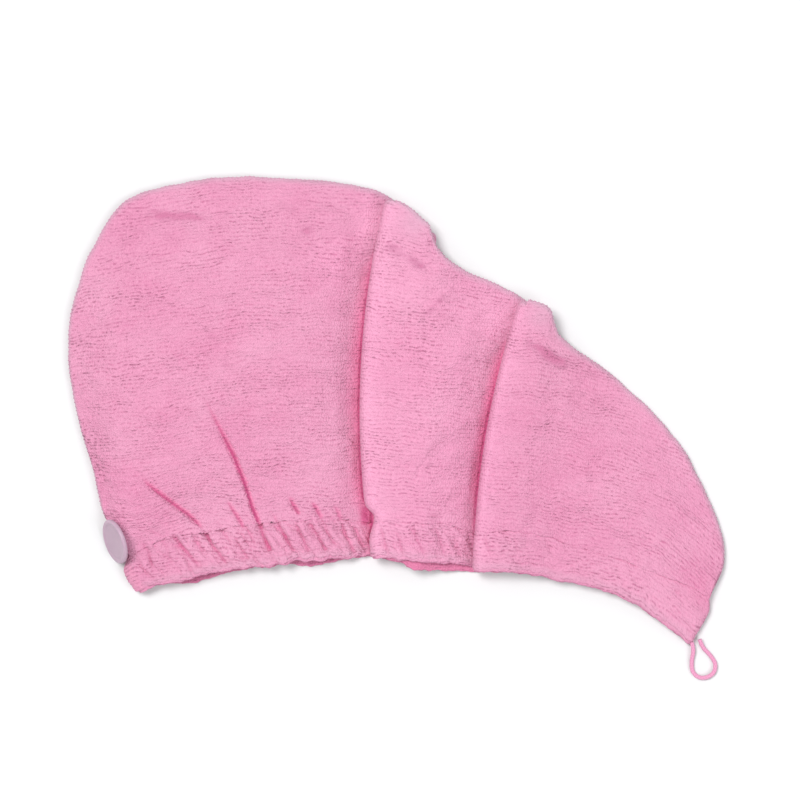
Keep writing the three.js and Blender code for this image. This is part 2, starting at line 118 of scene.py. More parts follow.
# ---------------------------------------------------------------- folds of the visible side
# panel: 0 cap, 1 middle, 2 tail. left and right: reach of the dip on either side of the line, looking
# along it from its first point. lip: height of the roll that stands beside the line, on its left side if
# negative. fade: share of the line's length over which it starts and ends.
FOLDS = [
    # panel, points (pixels), depth, left, right, lip, fade start, fade end
    (0, [(200, 388), (212.5, 411.5), (224, 434.5), (235.4, 457.4), (245, 482.3), (252.6, 507), (258, 520), (262, 528)], 5.0, 1.8, 4.8, -1.0, 0.45, 0.14),
    (0, [(140, 474), (149.3, 484), (166.5, 497.6), (189.5, 514.8), (204.8, 530)], 3.0, 3.6, 1.8, 0.9, 0.45, 0.15),
    (0, [(226, 498), (231.6, 507), (241, 522), (246, 532)], 2.0, 1.8, 3.2, -0.5, 0.4, 0.3),
    (0, [(214, 517), (219, 523), (226, 532)], 1.4, 1.6, 2.4, -0.4, 0.4, 0.4),
    (0, [(141, 529), (153, 531), (168, 537.5)], 1.5, 1.6, 2.2, 0.4, 0.4, 0.4),
    (0, [(289, 494), (292.8, 503.3), (300, 515.5)], 2.6, 1.4, 3.0, -0.5, 0.5, 0.1),
    (0, [(311, 500), (315, 506), (322.5, 520)], 2.2, 1.4, 2.6, -0.5, 0.5, 0.2),
    (0, [(332, 500), (338, 512), (342, 524)], 1.2, 1.8, 2.4, 0.0, 0.5, 0.3),
    # gathers on the band (steep on the left, with a roll beside each)
    (0, [(140, 538), (149, 552), (155, 570)], 2.2, 1.5, 3.4, -0.8, 0.3, 0.2),
    (0, [(158, 536), (166, 545), (172, 560)], 1.6, 1.6, 3.0, -0.6, 0.3, 0.4),
    (0, [(172, 533), (184, 548), (200, 567)], 4.2, 1.5, 3.8, -1.4, 0.15, 0.15),
    (0, [(192, 531), (198, 545), (208, 561)], 2.0, 1.4, 2.6, -0.6, 0.2, 0.3),
    (0, [(204, 529), (214, 547), (230, 566)], 4.0, 1.4, 3.6, -1.4, 0.1, 0.15),
    (0, [(219, 526), (227, 537), (236, 549)], 2.4, 1.3, 2.8, -0.8, 0.2, 0.4),
    (0, [(233, 533), (240, 545), (250, 561)], 3.0, 1.3, 2.8, -1.0, 0.3, 0.15),
    (0, [(245, 523), (251, 536), (258, 549)], 2.4, 1.3, 2.6, -0.8, 0.1, 0.4),
    (0, [(259, 522), (264, 536), (273, 553)], 4.6, 1.3, 3.0, -1.4, 0.1, 0.15),
    (0, [(272, 510), (280, 527), (289, 541), (296, 555)], 4.0, 1.4, 3.2, -1.2, 0.2, 0.15),
    (0, [(283, 534), (288, 543), (292, 550)], 1.8, 1.1, 2.2, -0.5, 0.4, 0.3),
    (0, [(294, 520), (302, 536), (310, 554)], 3.2, 1.3, 2.8, -1.0, 0.2, 0.15),
    (0, [(309, 521), (318, 535), (328, 553)], 3.8, 1.4, 3.0, -1.2, 0.15, 0.15),
    (0, [(324, 526), (331, 539), (338, 549)], 2.6, 1.3, 2.6, -0.8, 0.2, 0.3),
    (0, [(341, 521), (346, 536), (357, 557)], 4.0, 1.4, 3.2, -1.2, 0.15, 0.15),
    (0, [(354, 525), (360, 539), (368, 556)], 3.2, 1.3, 2.8, -1.0, 0.2, 0.15),
    # broad soft folds of the cap
    (0, [(112, 292), (126, 244), (150, 218), (205, 213), (262, 214), (318, 228), (350, 244)], 1.7, 9.0, 10.0, 0.0, 0.2, 0.2),
    (0, [(142, 212), (160, 215), (190, 217), (222, 224)], 1.8, 6.0, 8.0, -0.9, 0.3, 0.3),
    (0, [(294, 229), (320, 237), (346, 248)], 1.8, 6.0, 6.0, -0.9, 0.25, 0.3),
    (0, [(180, 298), (196, 318), (214, 338), (227, 362), (233, 392)], 2.2, 6.0, 5.0, -0.8, 0.3, 0.3),
    (0, [(236, 262), (262, 268), (292, 262)], 1.0, 5.0, 6.0, 0.0, 0.4, 0.4),
    (0, [(262, 330), (292, 322), (322, 300)], 1.1, 6.0, 6.0, 0.0, 0.4, 0.4),
    (0, [(108, 398), (150, 392), (186, 376)], 1.2, 6.0, 7.0, 0.0, 0.4, 0.4),
    (0, [(112, 452), (140, 446), (170, 452)], 1.0, 5.0, 6.0, 0.0, 0.4, 0.4),
    (0, [(352, 352), (334, 384), (314, 412)], 1.3, 7.0, 7.0, 0.0, 0.3, 0.4),
    (0, [(268, 418), (276, 452), (284, 488)], 1.2, 6.0, 6.0, 0.0, 0.4, 0.3),
    (0, [(300, 436), (304, 468), (312, 498)], 0.9, 5.0, 5.0, 0.0, 0.4, 0.3),
    (0, [(180, 420), (196, 452), (216, 486)], 1.2, 6.0, 6.0, 0.0, 0.4, 0.4),
    # middle panel
    (1, [(382, 238), (400, 252), (418, 264), (436, 278)], 2.7, 6.0, 8.0, -0.9, 0.15, 0.3),
    (1, [(466, 272), (440, 300), (418, 322), (400, 345)], 1.9, 4.5, 5.5, 0.6, 0.3, 0.3),
    (1, [(480, 431), (454, 440), (434, 454), (422, 474), (415, 500)], 2.4, 4.2, 3.2, 0.7, 0.15, 0.3),
    (1, [(470, 322), (458, 352), (446, 392)], -1.3, 9.0, 9.0, 0.0, 0.3, 0.3),
    (1, [(400, 470), (402, 492), (408, 512)], 1.0, 3.5, 4.0, 0.0, 0.4, 0.3),
    (1, [(444, 286), (456, 290), (468, 288)], 1.0, 3.0, 3.0, 0.0, 0.4, 0.4),
    (1, [(380, 522), (384, 538), (389, 556)], 2.6, 1.3, 2.8, -0.8, 0.2, 0.15),
    (1, [(396, 526), (400, 542), (404, 558)], 2.2, 1.3, 2.4, -0.7, 0.3, 0.2),
    (1, [(428, 512), (436, 516), (445, 518)], 1.6, 1.3, 2.2, 0.5, 0.4, 0.4),
    (1, [(462, 522), (468, 530), (472, 545), (474, 560)], 2.4, 1.3, 2.4, -0.7, 0.3, 0.2),
    (1, [(411, 523), (417, 538), (427, 560)], 2.6, 1.4, 3.0, -0.8, 0.2, 0.2),
    (1, [(432, 520), (440, 540), (447, 561)], 2.4, 1.4, 3.0, -0.8, 0.2, 0.2),
    (1, [(452, 528), (457, 545), (462, 562)], 1.8, 1.3, 2.6, -0.6, 0.3, 0.3),
    # tail
    (2, [(520, 336), (542, 350), (562, 362), (584, 374)], 2.8, 6.0, 8.0, -0.9, 0.15, 0.35),
    (2, [(640, 566), (672, 588), (700, 608)], 1.6, 6.0, 7.0, 0.0, 0.3, 0.3),
    (2, [(598, 392), (618, 418), (640, 452)], 2.0, 7.0, 9.0, 0.0, 0.3, 0.4),
    (2, [(556, 420), (566, 462), (572, 500)], 1.3, 7.0, 7.0, 0.0, 0.4, 0.4),
    (2, [(600, 470), (628, 498), (660, 512)], 1.3, 7.0, 7.0, 0.0, 0.4, 0.4),
    (2, [(668, 520), (682, 548), (690, 574)], 1.0, 6.0, 6.0, 0.0, 0.4, 0.4),
    (2, [(536, 500), (548, 520), (562, 534)], 0.9, 3.0, 4.0, 0.0, 0.4, 0.4),
    (2, [(484, 532), (487, 546), (492, 560)], 1.8, 1.2, 2.4, -0.6, 0.3, 0.3),
    (2, [(512, 528), (515, 543), (518, 556)], 1.2, 1.4, 2.6, -0.4, 0.4, 0.3),
    (2, [(496, 520), (506, 534), (512, 552)], 1.4, 2.4, 3.4, -0.4, 0.3, 0.3),
    (2, [(540, 532), (549, 546), (554, 562)], 1.2, 2.4, 3.4, -0.4, 0.3, 0.3),
    (2, [(618, 526), (628, 548), (640, 570)], 1.6, 3.0, 4.6, -0.5, 0.3, 0.3),
    (2, [(628, 540), (634, 556), (637, 574)], 1.0, 2.0, 3.0, -0.3, 0.4, 0.2),
]


# how far the crown stands out past the sections' own line, by the picture's x in pixels: the corners
# of the folded layers, and the tail's full side
CROWN_1 = [(394, 0.2), (398, 2.4), (404, 4.2), (414, 6.4), (423, 8.4), (428.5, 9.0), (432, 5.0), (437, 0.2), (445, -0.8), (462, 0), (480, 0)]
CROWN_2 = [(523, 0.2), (527, 2.0), (534, 5.4), (544, 9.0), (548.5, 8.8), (552.5, 4.2), (558, 0.2), (568, 0.8), (600, 1.9), (640, 2.4), (722, 2.4)]
# how far the hem hangs out past its own line, by the picture's x in pixels
HEM_OUT = [(225, 0), (243, 1.6), (275, 1.6), (292, 0.2), (465, 0.4), (484, 2.0), (560, 1.9), (590, 0.3)]


# ---------------------------------------------------------------- helpers
def clamp01(t):
    return np.clip(t, 0.0, 1.0)


def smooth(t):
    c = clamp01(t)
    return c * c * (3 - 2 * c)


def through(values, u, monotone):
    values = np.asarray(values, float)
    last = len(values) - 1
    i = np.minimum(np.floor(u).astype(int), last - 1)
    t = u - i
    step = np.diff(values)
    slope = np.zeros(last + 1)
    a, b = step[:-1], step[1:]
    if monotone:
        ok = a * b > 0
        slope[1:-1][ok] = 2 * a[ok] * b[ok] / (a[ok] + b[ok])
    else:
        slope[0], slope[-1] = step[0], step[-1]
        slope[1:-1] = (a + b) / 2
    t2, t3 = t * t, t * t * t
    return (
        (2 * t3 - 3 * t2 + 1) * values[i]
        + (t3 - 2 * t2 + t) * slope[i]
        + (3 * t2 - 2 * t3) * values[i + 1]
        + (t3 - t2) * slope[i + 1]
    )


def lattice(ix, iy, seed):
    h = (ix * 374761393 + iy * 668265263 + seed * 974634777) & 0xFFFFFFFF
    h = ((h ^ (h >> 13)) * 1274126177) & 0xFFFFFFFF
    h = h ^ (h >> 16)
    return h / 4294967296.0


def noise2(x, y, seed):
    """Gradient noise, about -1 to 1, the same on each run."""
    x, y = np.broadcast_arrays(np.asarray(x, float), np.asarray(y, float))
    xi, yi = np.floor(x).astype(np.int64), np.floor(y).astype(np.int64)
    xf, yf = x - xi, y - yi

    def corner(dx, dy):
        angle = lattice(xi + dx, yi + dy, seed) * 2 * math.pi
        return np.cos(angle) * (xf - dx) + np.sin(angle) * (yf - dy)

    fx = xf * xf * xf * (xf * (xf * 6 - 15) + 10)
    fy = yf * yf * yf * (yf * (yf * 6 - 15) + 10)
    a, b, c, d = corner(0, 0), corner(1, 0), corner(0, 1), corner(1, 1)
    return ((a + (b - a) * fx) * (1 - fy) + (c + (d - c) * fx) * fy) * 1.5


# ---------------------------------------------------------------- columns
FIELDS = KEYS + ("face", "turn", "turning", "panel", "grain", "ref", "pinch")


def section_of(rows, u):
    out = {}
    for i, key in enumerate(KEYS):
        out[key] = through([row[i] for row in rows], u, key not in SMOOTH_KEYS)
    return out


def ray(s):
    dx, dy = s["crownX"] - s["hemX"], s["crownY"] - s["hemY"]
    length = np.hypot(dx, dy)
    return length, dx / length, dy / length


def plan(s, r):
    length, dx, dy = ray(s)
    bow = s["bow"] * 4 * (r / length) * (1 - r / length)
    # the first pleat's edge is drawn in where the casing is sewn on
    drawn = PINCH * s.get("pinch", 0.0) * np.exp(-(((r - PINCH_AT) / np.where(r > PINCH_AT, 4.6, 11.0)) ** 2))
    return s["hemX"] + dx * r + dy * bow + drawn, s["hemY"] + dy * r - dx * bow


def right_of(s, r):
    length, dx, dy = ray(s)
    slope = s["bow"] * 4 / length * (1 - 2 * r / length)
    tx, ty = dx + dy * slope, dy - dx * slope
    n = np.hypot(tx, ty)
    return ty / n, -tx / n


def gap_at(s, r):
    length = ray(s)[0]
    above = (r - s["band"]) / (length - s["band"])
    opened = s["mouth"] + (s["puff"] - s["mouth"]) * smooth(above / 0.3)
    edge = np.minimum(EDGE_GAP, s["puff"])
    taper = np.minimum(CROWN_TAPER, 0.6 * (length - s["band"]))
    return edge + (opened - edge) * smooth((length - r) / taper)


def columns(spacing, share, turns, backs):
    """The dense version of the part's columns: the rays in order along the cloth, with the folded layers."""
    parts = []
    last_u = 0.0

    def add(s, n, **more):
        row = {k: np.broadcast_to(np.asarray(s[k], float), (n,)).copy() for k in KEYS}
        for k in FIELDS[len(KEYS):]:
            row[k] = np.broadcast_to(np.asarray(more.get(k, 0.0), float), (n,)).copy()
        parts.append(row)

    def flat(rows, panel, grain, ref):
        fine = np.linspace(0, len(rows) - 1, 3001)
        s = section_of(rows, fine)
        length = ray(s)[0]
        x, y = plan(s, share * length)
        run = np.concatenate([[0], np.cumsum(np.hypot(np.diff(x), np.diff(y)))])
        n = int(math.ceil(run[-1] / spacing)) + 1
        u = np.interp(np.linspace(0, run[-1], n), run, fine)
        u[0], u[-1] = 0.0, float(len(rows) - 1)
        s = section_of(rows, u)
        add(s, n, face=1, turn=0, turning=0, panel=panel, grain=grain, ref=s["hemY"] if ref is None else ref)

    def one(rows, i):
        return {k: np.array([rows[i][j]], float) for j, k in enumerate(KEYS)}

    def turned(rows, i, side, lift, skip_last, grain, ref):
        angles = math.pi * np.arange(1, turns + 1) / turns
        if skip_last:
            angles = angles[:-1]
        s = one(rows, i)
        s["lift"] = np.array([lift], float)
        add(s, len(angles), face=side, turn=angles, turning=1, panel=3, grain=grain, ref=ref)

    def folded_back(rows_a, rows_b, grain, ref):
        a, b = one(rows_a, -1), one(rows_b, 0)
        t = np.arange(1, backs + 1) / backs
        s = {k: a[k] + (b[k] - a[k]) * t for k in KEYS}
        s["lift"] = np.full(backs, LAYER)
        add(s, backs, face=-1, turn=0, turning=0, panel=3, grain=grain, ref=ref)

    flat(CAP, 0, 0.5, None)
    turned(CAP, -1, 1, 0, False, 0.6, -83.0)
    folded_back(CAP, MIDDLE, 0.7, -83.0)
    turned(MIDDLE, 0, -1, LAYER, True, 0.8, -83.0)
    flat(MIDDLE, 1, 0.8, -83.0)
    turned(MIDDLE, -1, 1, 0, False, 0.85, -85.0)
    folded_back(MIDDLE, TAIL, 0.9, -87.0)
    turned(TAIL, 0, -1, LAYER, True, 1.0, -90.0)
    flat(TAIL, 2, 1.0, -90.0)
    c = {k: np.concatenate([p[k] for p in parts])[:, None] for k in FIELDS}
    near_edge = np.abs(c["hemX"] - MIDDLE[0][0])
    c["pinch"] = np.where(c["panel"] == 1, np.exp(-near_edge / 9.0), np.where(c["panel"] == 3, np.exp(-near_edge / 3.0), 0.0))
    # the seam and the hem don't run quite true
    length, dx, dy = ray(c)
    x, y = c["crownX"].copy(), c["crownY"].copy()
    push = 0.85 * noise2(x / 21, y / 21, 61) + 0.45 * noise2(x / 8, y / 8, 62)
    push = push * smooth(length / 90)
    across_x = x / PX + 395.0
    down_y = 428.8 - y / PX
    push += np.where(c["panel"] == 0, 0.5 + 3.2 * np.exp(-(((across_x - 120) / 34) ** 2 + ((down_y - 202) / 34) ** 2)), 0.0)
    for number, table in ((1, CROWN_1), (2, CROWN_2)):
        at, out = zip(*table)
        push += np.where(c["panel"] == number, np.interp(across_x, at, out), 0.0)
    tail_side = np.where((c["panel"] == 2) & (across_x > 690), 2.0 * np.exp(-(((down_y - 573) / 15) ** 2)), 0.0)
    c["crownX"], c["crownY"] = x + dx * push + tail_side, y + dy * push
    x, y = c["hemX"].copy(), c["hemY"].copy()
    at, out = zip(*HEM_OUT)
    hang = np.interp(x / PX + 395.0, at, out)
    push = 0.7 * noise2(x / 12, y / 12, 63) + 0.5 * noise2(x / 4.5, y / 4.5, 64) - hang
    c["hemX"], c["hemY"] = x + dx * push, y + dy * push
    c["band"] = c["band"] + hang
    return c


# ---------------------------------------------------------------- the folds' depth
def fold_depth(points, depth, left, right, lip, fade0, fade1, x, y):
    """Height change, negative down, of one fold at x, y."""
    pts = np.array([px(*p) for p in points])
    seg = np.diff(pts, axis=0)
    seg_len = np.hypot(seg[:, 0], seg[:, 1])
    total = seg_len.sum()
    start = np.concatenate([[0], np.cumsum(seg_len)])
    best = np.full(x.shape, 1e9)
    side = np.zeros(x.shape)
    along = np.zeros(x.shape)
    for i in range(len(seg)):
        d = seg[i] / seg_len[i]
        qx, qy = x - pts[i, 0], y - pts[i, 1]
        t = qx * d[0] + qy * d[1]
        near = np.clip(t, 0, seg_len[i])
        ox, oy = qx - d[0] * near, qy - d[1] * near
        dist = np.hypot(ox, oy)
        hit = dist < best
        best = np.where(hit, dist, best)
        side = np.where(hit, np.where(d[0] * qy - d[1] * qx > 0, -1.0, 1.0), side)
        along = np.where(hit, start[i] + near, along)
    a = along / total
    fade = smooth(a / max(fade0, 1e-3)) * smooth((1 - a) / max(fade1, 1e-3))
    reach = np.where(side < 0, left, right)
    sharp = min(left, right) < 2.3
    dip = -depth * np.exp(-((best / reach) ** (1.05 if sharp else 1.5)))
    roll = 0.0
    if lip:
        lip_side = -1.0 if lip < 0 else 1.0
        width = left if lip < 0 else right
        signed = best * np.where(side == lip_side, 1.0, -1.0)
        roll = abs(lip) * np.exp(-(((signed - 2.1 * width) / (1.5 * width)) ** 2))
    return (dip + roll) * fade


# how tight the cap and the middle panel close under the next fold's edge, from the hem up to the crown, used as the
# strength of a painted dark line of shade along that edge
EDGE_LINE_SHADE_1 = [0.3, 0.9, 0.8, 0.66, 0.6, 0.6, 0.7, 0.7, 0.6, 0.5, 0.2, 0.0, 0.0]
EDGE_LINE_SHADE_2 = [0.1, 0.3, 0.6, 0.75, 0.65, 0.65, 0.7, 0.7, 0.5, 0.15, 0.0, 0.0, 0.0]
# and how strong the painted glow of deep pink shade beside it is, by the share of the way up
PAINTED_GLOW_1 = ((0, 0.1, 0.5, 0.6, 0.78, 0.84, 0.9, 1), (0.6, 1, 1, 1.15, 0.9, 0.5, 0.1, 0))
PAINTED_GLOW_2 = ((0, 0.14, 0.2, 0.29, 0.6, 0.75, 0.85, 0.92, 1), (0.3, 0.45, 0.6, 1.1, 1.2, 1.15, 0.6, 0.15, 0))
# the deepest place, where the first pleat is drawn in at the band, gets a painted dark spot of shade
NOTCH_SHADE_AT = px(367, 515)
NOTCH_SHADE_R = 4.2


def fold_edge(rows, pinch):
    """The line that a pleat's turned edge draws on the layer under it, from the hem to the crown."""
    one = {k: np.array([[rows[0][j]]], float) for j, k in enumerate(KEYS)}
    one["pinch"] = np.array([[pinch]], float)
    r = np.linspace(1.0, float(ray(one)[0][0, 0]) - 1.0, 25)[None, :]
    x, y = plan(one, r)
    rx, ry = right_of(one, r)
    reach = TURN_R + PLY + gap_at(one, r) / 2
    return np.stack([x - rx * reach, y - ry * reach], -1)[0]


def signed_to(pts, x, y):
    """Distance to a line of points, positive on its left looking along it, and the place along it."""
    best = np.full(np.shape(x), 1e9)
    side = np.zeros(np.shape(x))
    along = np.zeros(np.shape(x))
    for i, (a, b) in enumerate(zip(pts[:-1], pts[1:])):
        d = b - a
        t = np.clip(((x - a[0]) * d[0] + (y - a[1]) * d[1]) / (d @ d), 0, 1)
        ox, oy = x - a[0] - d[0] * t, y - a[1] - d[1] * t
        dist = np.hypot(ox, oy)
        hit = dist < best
        best = np.where(hit, dist, best)
        side = np.where(hit, np.where(d[0] * oy - d[1] * ox > 0, 1.0, -1.0), side)
        along = np.where(hit, i + t, along)
    return best * side, along


def crease_of(c, x, y):
    """Signed distance to the nearest sharp crease and how strongly a painted dark line of shade lies along it, for
    each point, with a painted dark spot at the first pleat's notch.
    """
    panel = np.broadcast_to(c["panel"], x.shape)
    away = np.full(x.shape, 3.0)
    crease_shade = np.zeros(x.shape)
    lines = []
    for row in FOLDS:
        if min(row[3], row[4]) < 2.3:
            n = len(row[1]) - 1
            u = np.linspace(0, 1, 9)
            fade = smooth(u / row[6]) * smooth((1 - u) / row[7])
            grip = min(0.3, row[2] / 13.0) if row[1][0][1] > 509 else min(0.95, 0.15 + row[2] / 5.0)
            lines.append((row[0], np.array([px(*p) for p in row[1]]), u * n, fade * grip))
    for number, line, grip in ((0, fold_edge(MIDDLE, 1.0), EDGE_LINE_SHADE_1), (1, fold_edge(TAIL, 0.0), EDGE_LINE_SHADE_2)):
        lines.append((number, line - (0.7, 0.0), np.linspace(0, len(line) - 1, len(grip)), np.array(grip)))
    for number, pts, u, grip in lines:
        inside = (panel == number) & (x > pts[:, 0].min() - 4) & (x < pts[:, 0].max() + 4)
        inside &= (y > pts[:, 1].min() - 4) & (y < pts[:, 1].max() + 4)
        if not inside.any():
            continue
        d, along = signed_to(pts, x[inside], y[inside])
        d = np.clip(d, -3, 3)
        hold = np.interp(along, u, grip) * smooth((2.6 - np.abs(d)) / 1.2)
        closer = hold > crease_shade[inside]
        away[inside] = np.where(closer, d, away[inside])
        crease_shade[inside] = np.where(closer, hold, crease_shade[inside])
    notch_shade = 0.8 * np.exp(-(((x - NOTCH_SHADE_AT[0]) / NOTCH_SHADE_R) ** 4) - ((y - NOTCH_SHADE_AT[1]) / (1.7 * NOTCH_SHADE_R)) ** 4) * (panel == 0)
    away = np.where(notch_shade > crease_shade, 0.0, away)
    return away, np.maximum(crease_shade, notch_shade)


def relief(c, r, x, y):
    """Height change of the visible panel's folds, gathers and soft unevenness at each point."""
    panel = np.broadcast_to(c["panel"], x.shape)
    wanted = np.zeros(x.shape)
    for row in FOLDS:
        inside = panel == row[0]
        if not inside.any():
            continue
        reach = 3.2 * max(row[3], row[4]) + 6
        pts = np.array([px(*p) for p in row[1]])
        inside &= (x > pts[:, 0].min() - reach) & (x < pts[:, 0].max() + reach)
        inside &= (y > pts[:, 1].min() - reach) & (y < pts[:, 1].max() + reach)
        if not inside.any():
            continue
        if min(row[3], row[4]) > 2.3:
            scale = 1.35
        elif row[1][0][1] > 509:
            scale = 0.85 if row[0] == 0 else 0.45
        else:
            scale = 0.6
        wanted[inside] += scale * fold_depth(row[1], *row[2:], x[inside], y[inside])
    band = c["band"]
    # small slanted gathers on and above the band, strongest on the cap
    strength = np.select([panel == 0, panel == 1, panel == 2], [2.7, 1.1, 0.6], 0.0)
    phase = (x + 0.8 * y) / 9.5 + 0.45 * noise2(x / 16, y / 16, 11)
    sharp = (1 - np.abs(np.sin(math.pi * phase))) ** 1.6
    reach = np.exp(-(np.maximum(r - band * 0.75, 0) / 9.0) ** 2) * smooth(r / 4 + 0.35)
    wanted -= strength * sharp * reach * (0.55 + 0.6 * noise2(x / 11, y / 9, 12))
    # unevenness of cloth that lies loose
    wanted += 1.15 * noise2(x / 34, y / 30, 21) + 0.85 * noise2(x / 15, y / 12, 22)
    wanted += 0.55 * noise2(x / 6.5, y / 4.2, 23) + 0.25 * noise2(x / 3.6, y / 2.4, 24)
    return wanted


def bumps_of(x, y):
    """Small slanted bumps where the elastic bunches the terry."""
    u, v = x + 0.72 * y, y - 0.72 * x
    return 0.75 * noise2(u / 3.4, v / 11.0, 81) + 0.5 * noise2(u / 1.9, v / 5.0, 82)


def shift_of(c, r, raised):
    """How far both faces of the visible panel move for that relief, where there is room under it."""
    length = ray(c)[0]
    spare = np.maximum(0, gap_at(c, r) - NEST)
    down = np.maximum(-raised, 0)
    up = np.maximum(raised, 0)
    shift = -0.82 * spare * (1 - np.exp(-down / np.maximum(spare, 0.01))) + up * smooth(spare / 1.6)
    return shift * smooth((length - r) / 16)


def rest_of(c, r, raised):
    """The part of the relief that the pile alone takes up, where the layers lie tight on each other."""
    length = ray(c)[0]
    return np.clip(0.85 * (raised - shift_of(c, r, raised)), -1.7, 0.8) * smooth((length - r) / 5)


def place(c, r, across, raised=None):
    """Points at distance r up the columns and across the double layer, with the folds in the visible side."""
    length, dx, dy = ray(c)
    gap = gap_at(c, r)
    middle = c["lift"] + PLY + gap / 2
    x, y = plan(c, r)
    below = across < 0
    slip = np.where(below, c["peek"] * (1 - r / length), 0.0)
    x, y = x - dx * slip, y - dy * slip
    rx, ry = right_of(c, r)
    reach = (c["face"] * TURN_R - across) * np.sin(c["turn"])
    turning = c["turning"] > 0
    z_turn = middle + TURN_R * (1 - np.cos(c["turn"])) + c["face"] * across * np.cos(c["turn"])
    z_flat = middle + c["face"] * across
    if raised is not None:
        z_flat = z_flat + np.where((c["face"] > 0) & (across > 0), shift_of(c, r, raised), 0.0)
    x = np.where(turning, x + rx * reach, x)
    y = np.where(turning, y + ry * reach, y)
    z = np.where(turning, z_turn, z_flat)
    return np.stack([x, y, z], -1)


def round_edge(e):
    t = clamp01(e / EDGE_ROUND)
    return np.sqrt(1 - (1 - t) ** 2)


def grain_of(c, r, x, y):
    """Coordinate across the ribs, in millimetres."""
    v = (1 - c["grain"]) * y + c["grain"] * (r + c["ref"])
    for at_x, at_y, reach_x, reach_y, tilt in TILTS:
        cx, cy = px(at_x, at_y)
        v = v - tilt * (x - cx) * np.exp(-(((x - cx) / reach_x) ** 2) - ((y - cy) / reach_y) ** 2)
    return v


# places where the ribs tilt, up to the right if positive: pixels, reach in millimetres, slope
TILTS = [(165, 515, 30, 24, 0.42), (190, 420, 34, 22, 0.16), (300, 555, 40, 10, 0.16), (690, 545, 34, 34, -0.28), (640, 430, 30, 26, -0.14), (420, 250, 24, 22, -0.12)]


def weave(x, v, seed):
    """Rib phase, how strong the ribs are there, and the height of the terry."""
    wave = 1.5 * noise2(x / 26, v / 17, seed) + 1.0 * noise2(x / 9.5, v / 7.0, seed + 1) + 0.4 * noise2(x / 3.8, v / 3.0, seed + 6)
    phase = (v + wave) / RIB_PITCH
    patch = clamp01(0.5 + 0.95 * noise2(x / 30, v / 20, seed + 2) + 0.5 * noise2(x / 9, v / 7, seed + 3))
    broken = clamp01(0.52 + 1.1 * noise2(x / 2.5, phase * 1.01, seed + 4))
    amp = (0.38 + 0.62 * patch) * (0.35 + 0.65 * broken)
    groove = (0.5 + 0.5 * np.cos(2 * math.pi * phase)) ** 2
    height = RIB_DEPTH * amp * (0.38 - groove)
    return phase, amp, height


def grid_normals(p):
    du = np.gradient(p, axis=0)
    dv = np.gradient(p, axis=1)
    n = np.cross(du, dv)
    return n / np.maximum(np.linalg.norm(n, axis=-1, keepdims=True), 1e-9)


# ---------------------------------------------------------------- mesh making
def make_object(name, verts, faces, material, attributes=None):
    """faces: list of integer arrays, each (n, 3) or (n, 4)."""
    me = bpy.data.meshes.new(name)
    me.vertices.add(len(verts))
    me.vertices.foreach_set("co", (np.asarray(verts, np.float64) * MM).astype(np.float32).ravel())
    loops = np.concatenate([np.asarray(f, np.int32).ravel() for f in faces])
    sizes = np.concatenate([np.full(len(f), f.shape[1], np.int32) for f in faces])
    starts = np.concatenate([[0], np.cumsum(sizes)[:-1]]).astype(np.int32)
    me.loops.add(len(loops))
    me.loops.foreach_set("vertex_index", loops)
    me.polygons.add(len(sizes))
    me.polygons.foreach_set("loop_start", starts)
    me.update(calc_edges=True)
    me.validate()
    for key, value in (attributes or {}).items():
        value = np.asarray(value, np.float32)
        kind = "FLOAT_VECTOR" if value.ndim == 2 else "FLOAT"
        att = me.attributes.new(key, kind, "POINT")
        att.data.foreach_set("vector" if value.ndim == 2 else "value", value.ravel())
    me.polygons.foreach_set("use_smooth", np.ones(len(me.polygons), bool))
    ob = bpy.data.objects.new(name, me)
    bpy.context.scene.collection.objects.link(ob)
    if material:
        me.materials.append(material)
    return ob


def orient_outwards(verts, faces):
    """Turns all the faces round if the closed mesh is inside out."""
    volume = 0.0
    for f in faces:
        a = verts[f[:, 0]]
        for k in range(1, f.shape[1] - 1):
            volume += np.einsum("ij,ij->", a, np.cross(verts[f[:, k]], verts[f[:, k + 1]]))
    return [f[:, ::-1] for f in faces] if volume < 0 else faces


def zip_rows(a, b):
    """Triangles between two lines of vertices with different counts that share their ends' places."""
    tris = []
    i = j = 0
    while i < len(a) - 1 or j < len(b) - 1:
        if j == len(b) - 1 or (i < len(a) - 1 and (i + 1) / (len(a) - 1) <= (j + 1) / (len(b) - 1)):
            tris.append((a[i], b[j], a[i + 1]))
            i += 1
        else:
            tris.append((a[i], b[j], b[j + 1]))
            j += 1
    return np.array([t for t in tris if len(set(t)) == 3], np.int32)


def thinned(ob, target):
    """The same mesh brought down to about target triangles, fewest where it is smooth."""
    count = sum(len(p.vertices) - 2 for p in ob.data.polygons)
    if count <= target:
        return ob
    mod = ob.modifiers.new("thin", "DECIMATE")
    mod.ratio = target / count
    dg = bpy.context.evaluated_depsgraph_get()
    done = bpy.data.meshes.new_from_object(ob.evaluated_get(dg), preserve_all_data_layers=True, depsgraph=dg)
    ob.modifiers.clear()
    old = ob.data
    ob.data = done
    bpy.data.meshes.remove(old)
    done.name = ob.name
    # nothing may end up under the surface that the towel lies on
    at = np.empty(len(done.vertices) * 3, np.float32)
    done.vertices.foreach_get("co", at)
    at[2::3] = np.maximum(at[2::3], 0)
    done.vertices.foreach_set("co", at)
    done.polygons.foreach_set("use_smooth", np.ones(len(done.polygons), bool))
    return ob


# ---------------------------------------------------------------- materials
def node(tree, kind, **inputs):
    n = tree.nodes.new(kind)
    for key, value in inputs.items():
        if key.startswith("_"):
            setattr(n, key[1:], value)
        else:
            n.inputs[key].default_value = value
    return n


def math_node(tree, op, a, b=None, c=None, clamp=False):
    n = tree.nodes.new("ShaderNodeMath")
    n.operation = op
    n.use_clamp = clamp
    for i, v in enumerate((a, b, c)):
        if v is None:
            continue
        if isinstance(v, (int, float)):
            n.inputs[i].default_value = v
        else:
            tree.links.new(v, n.inputs[i])
    return n.outputs[0]


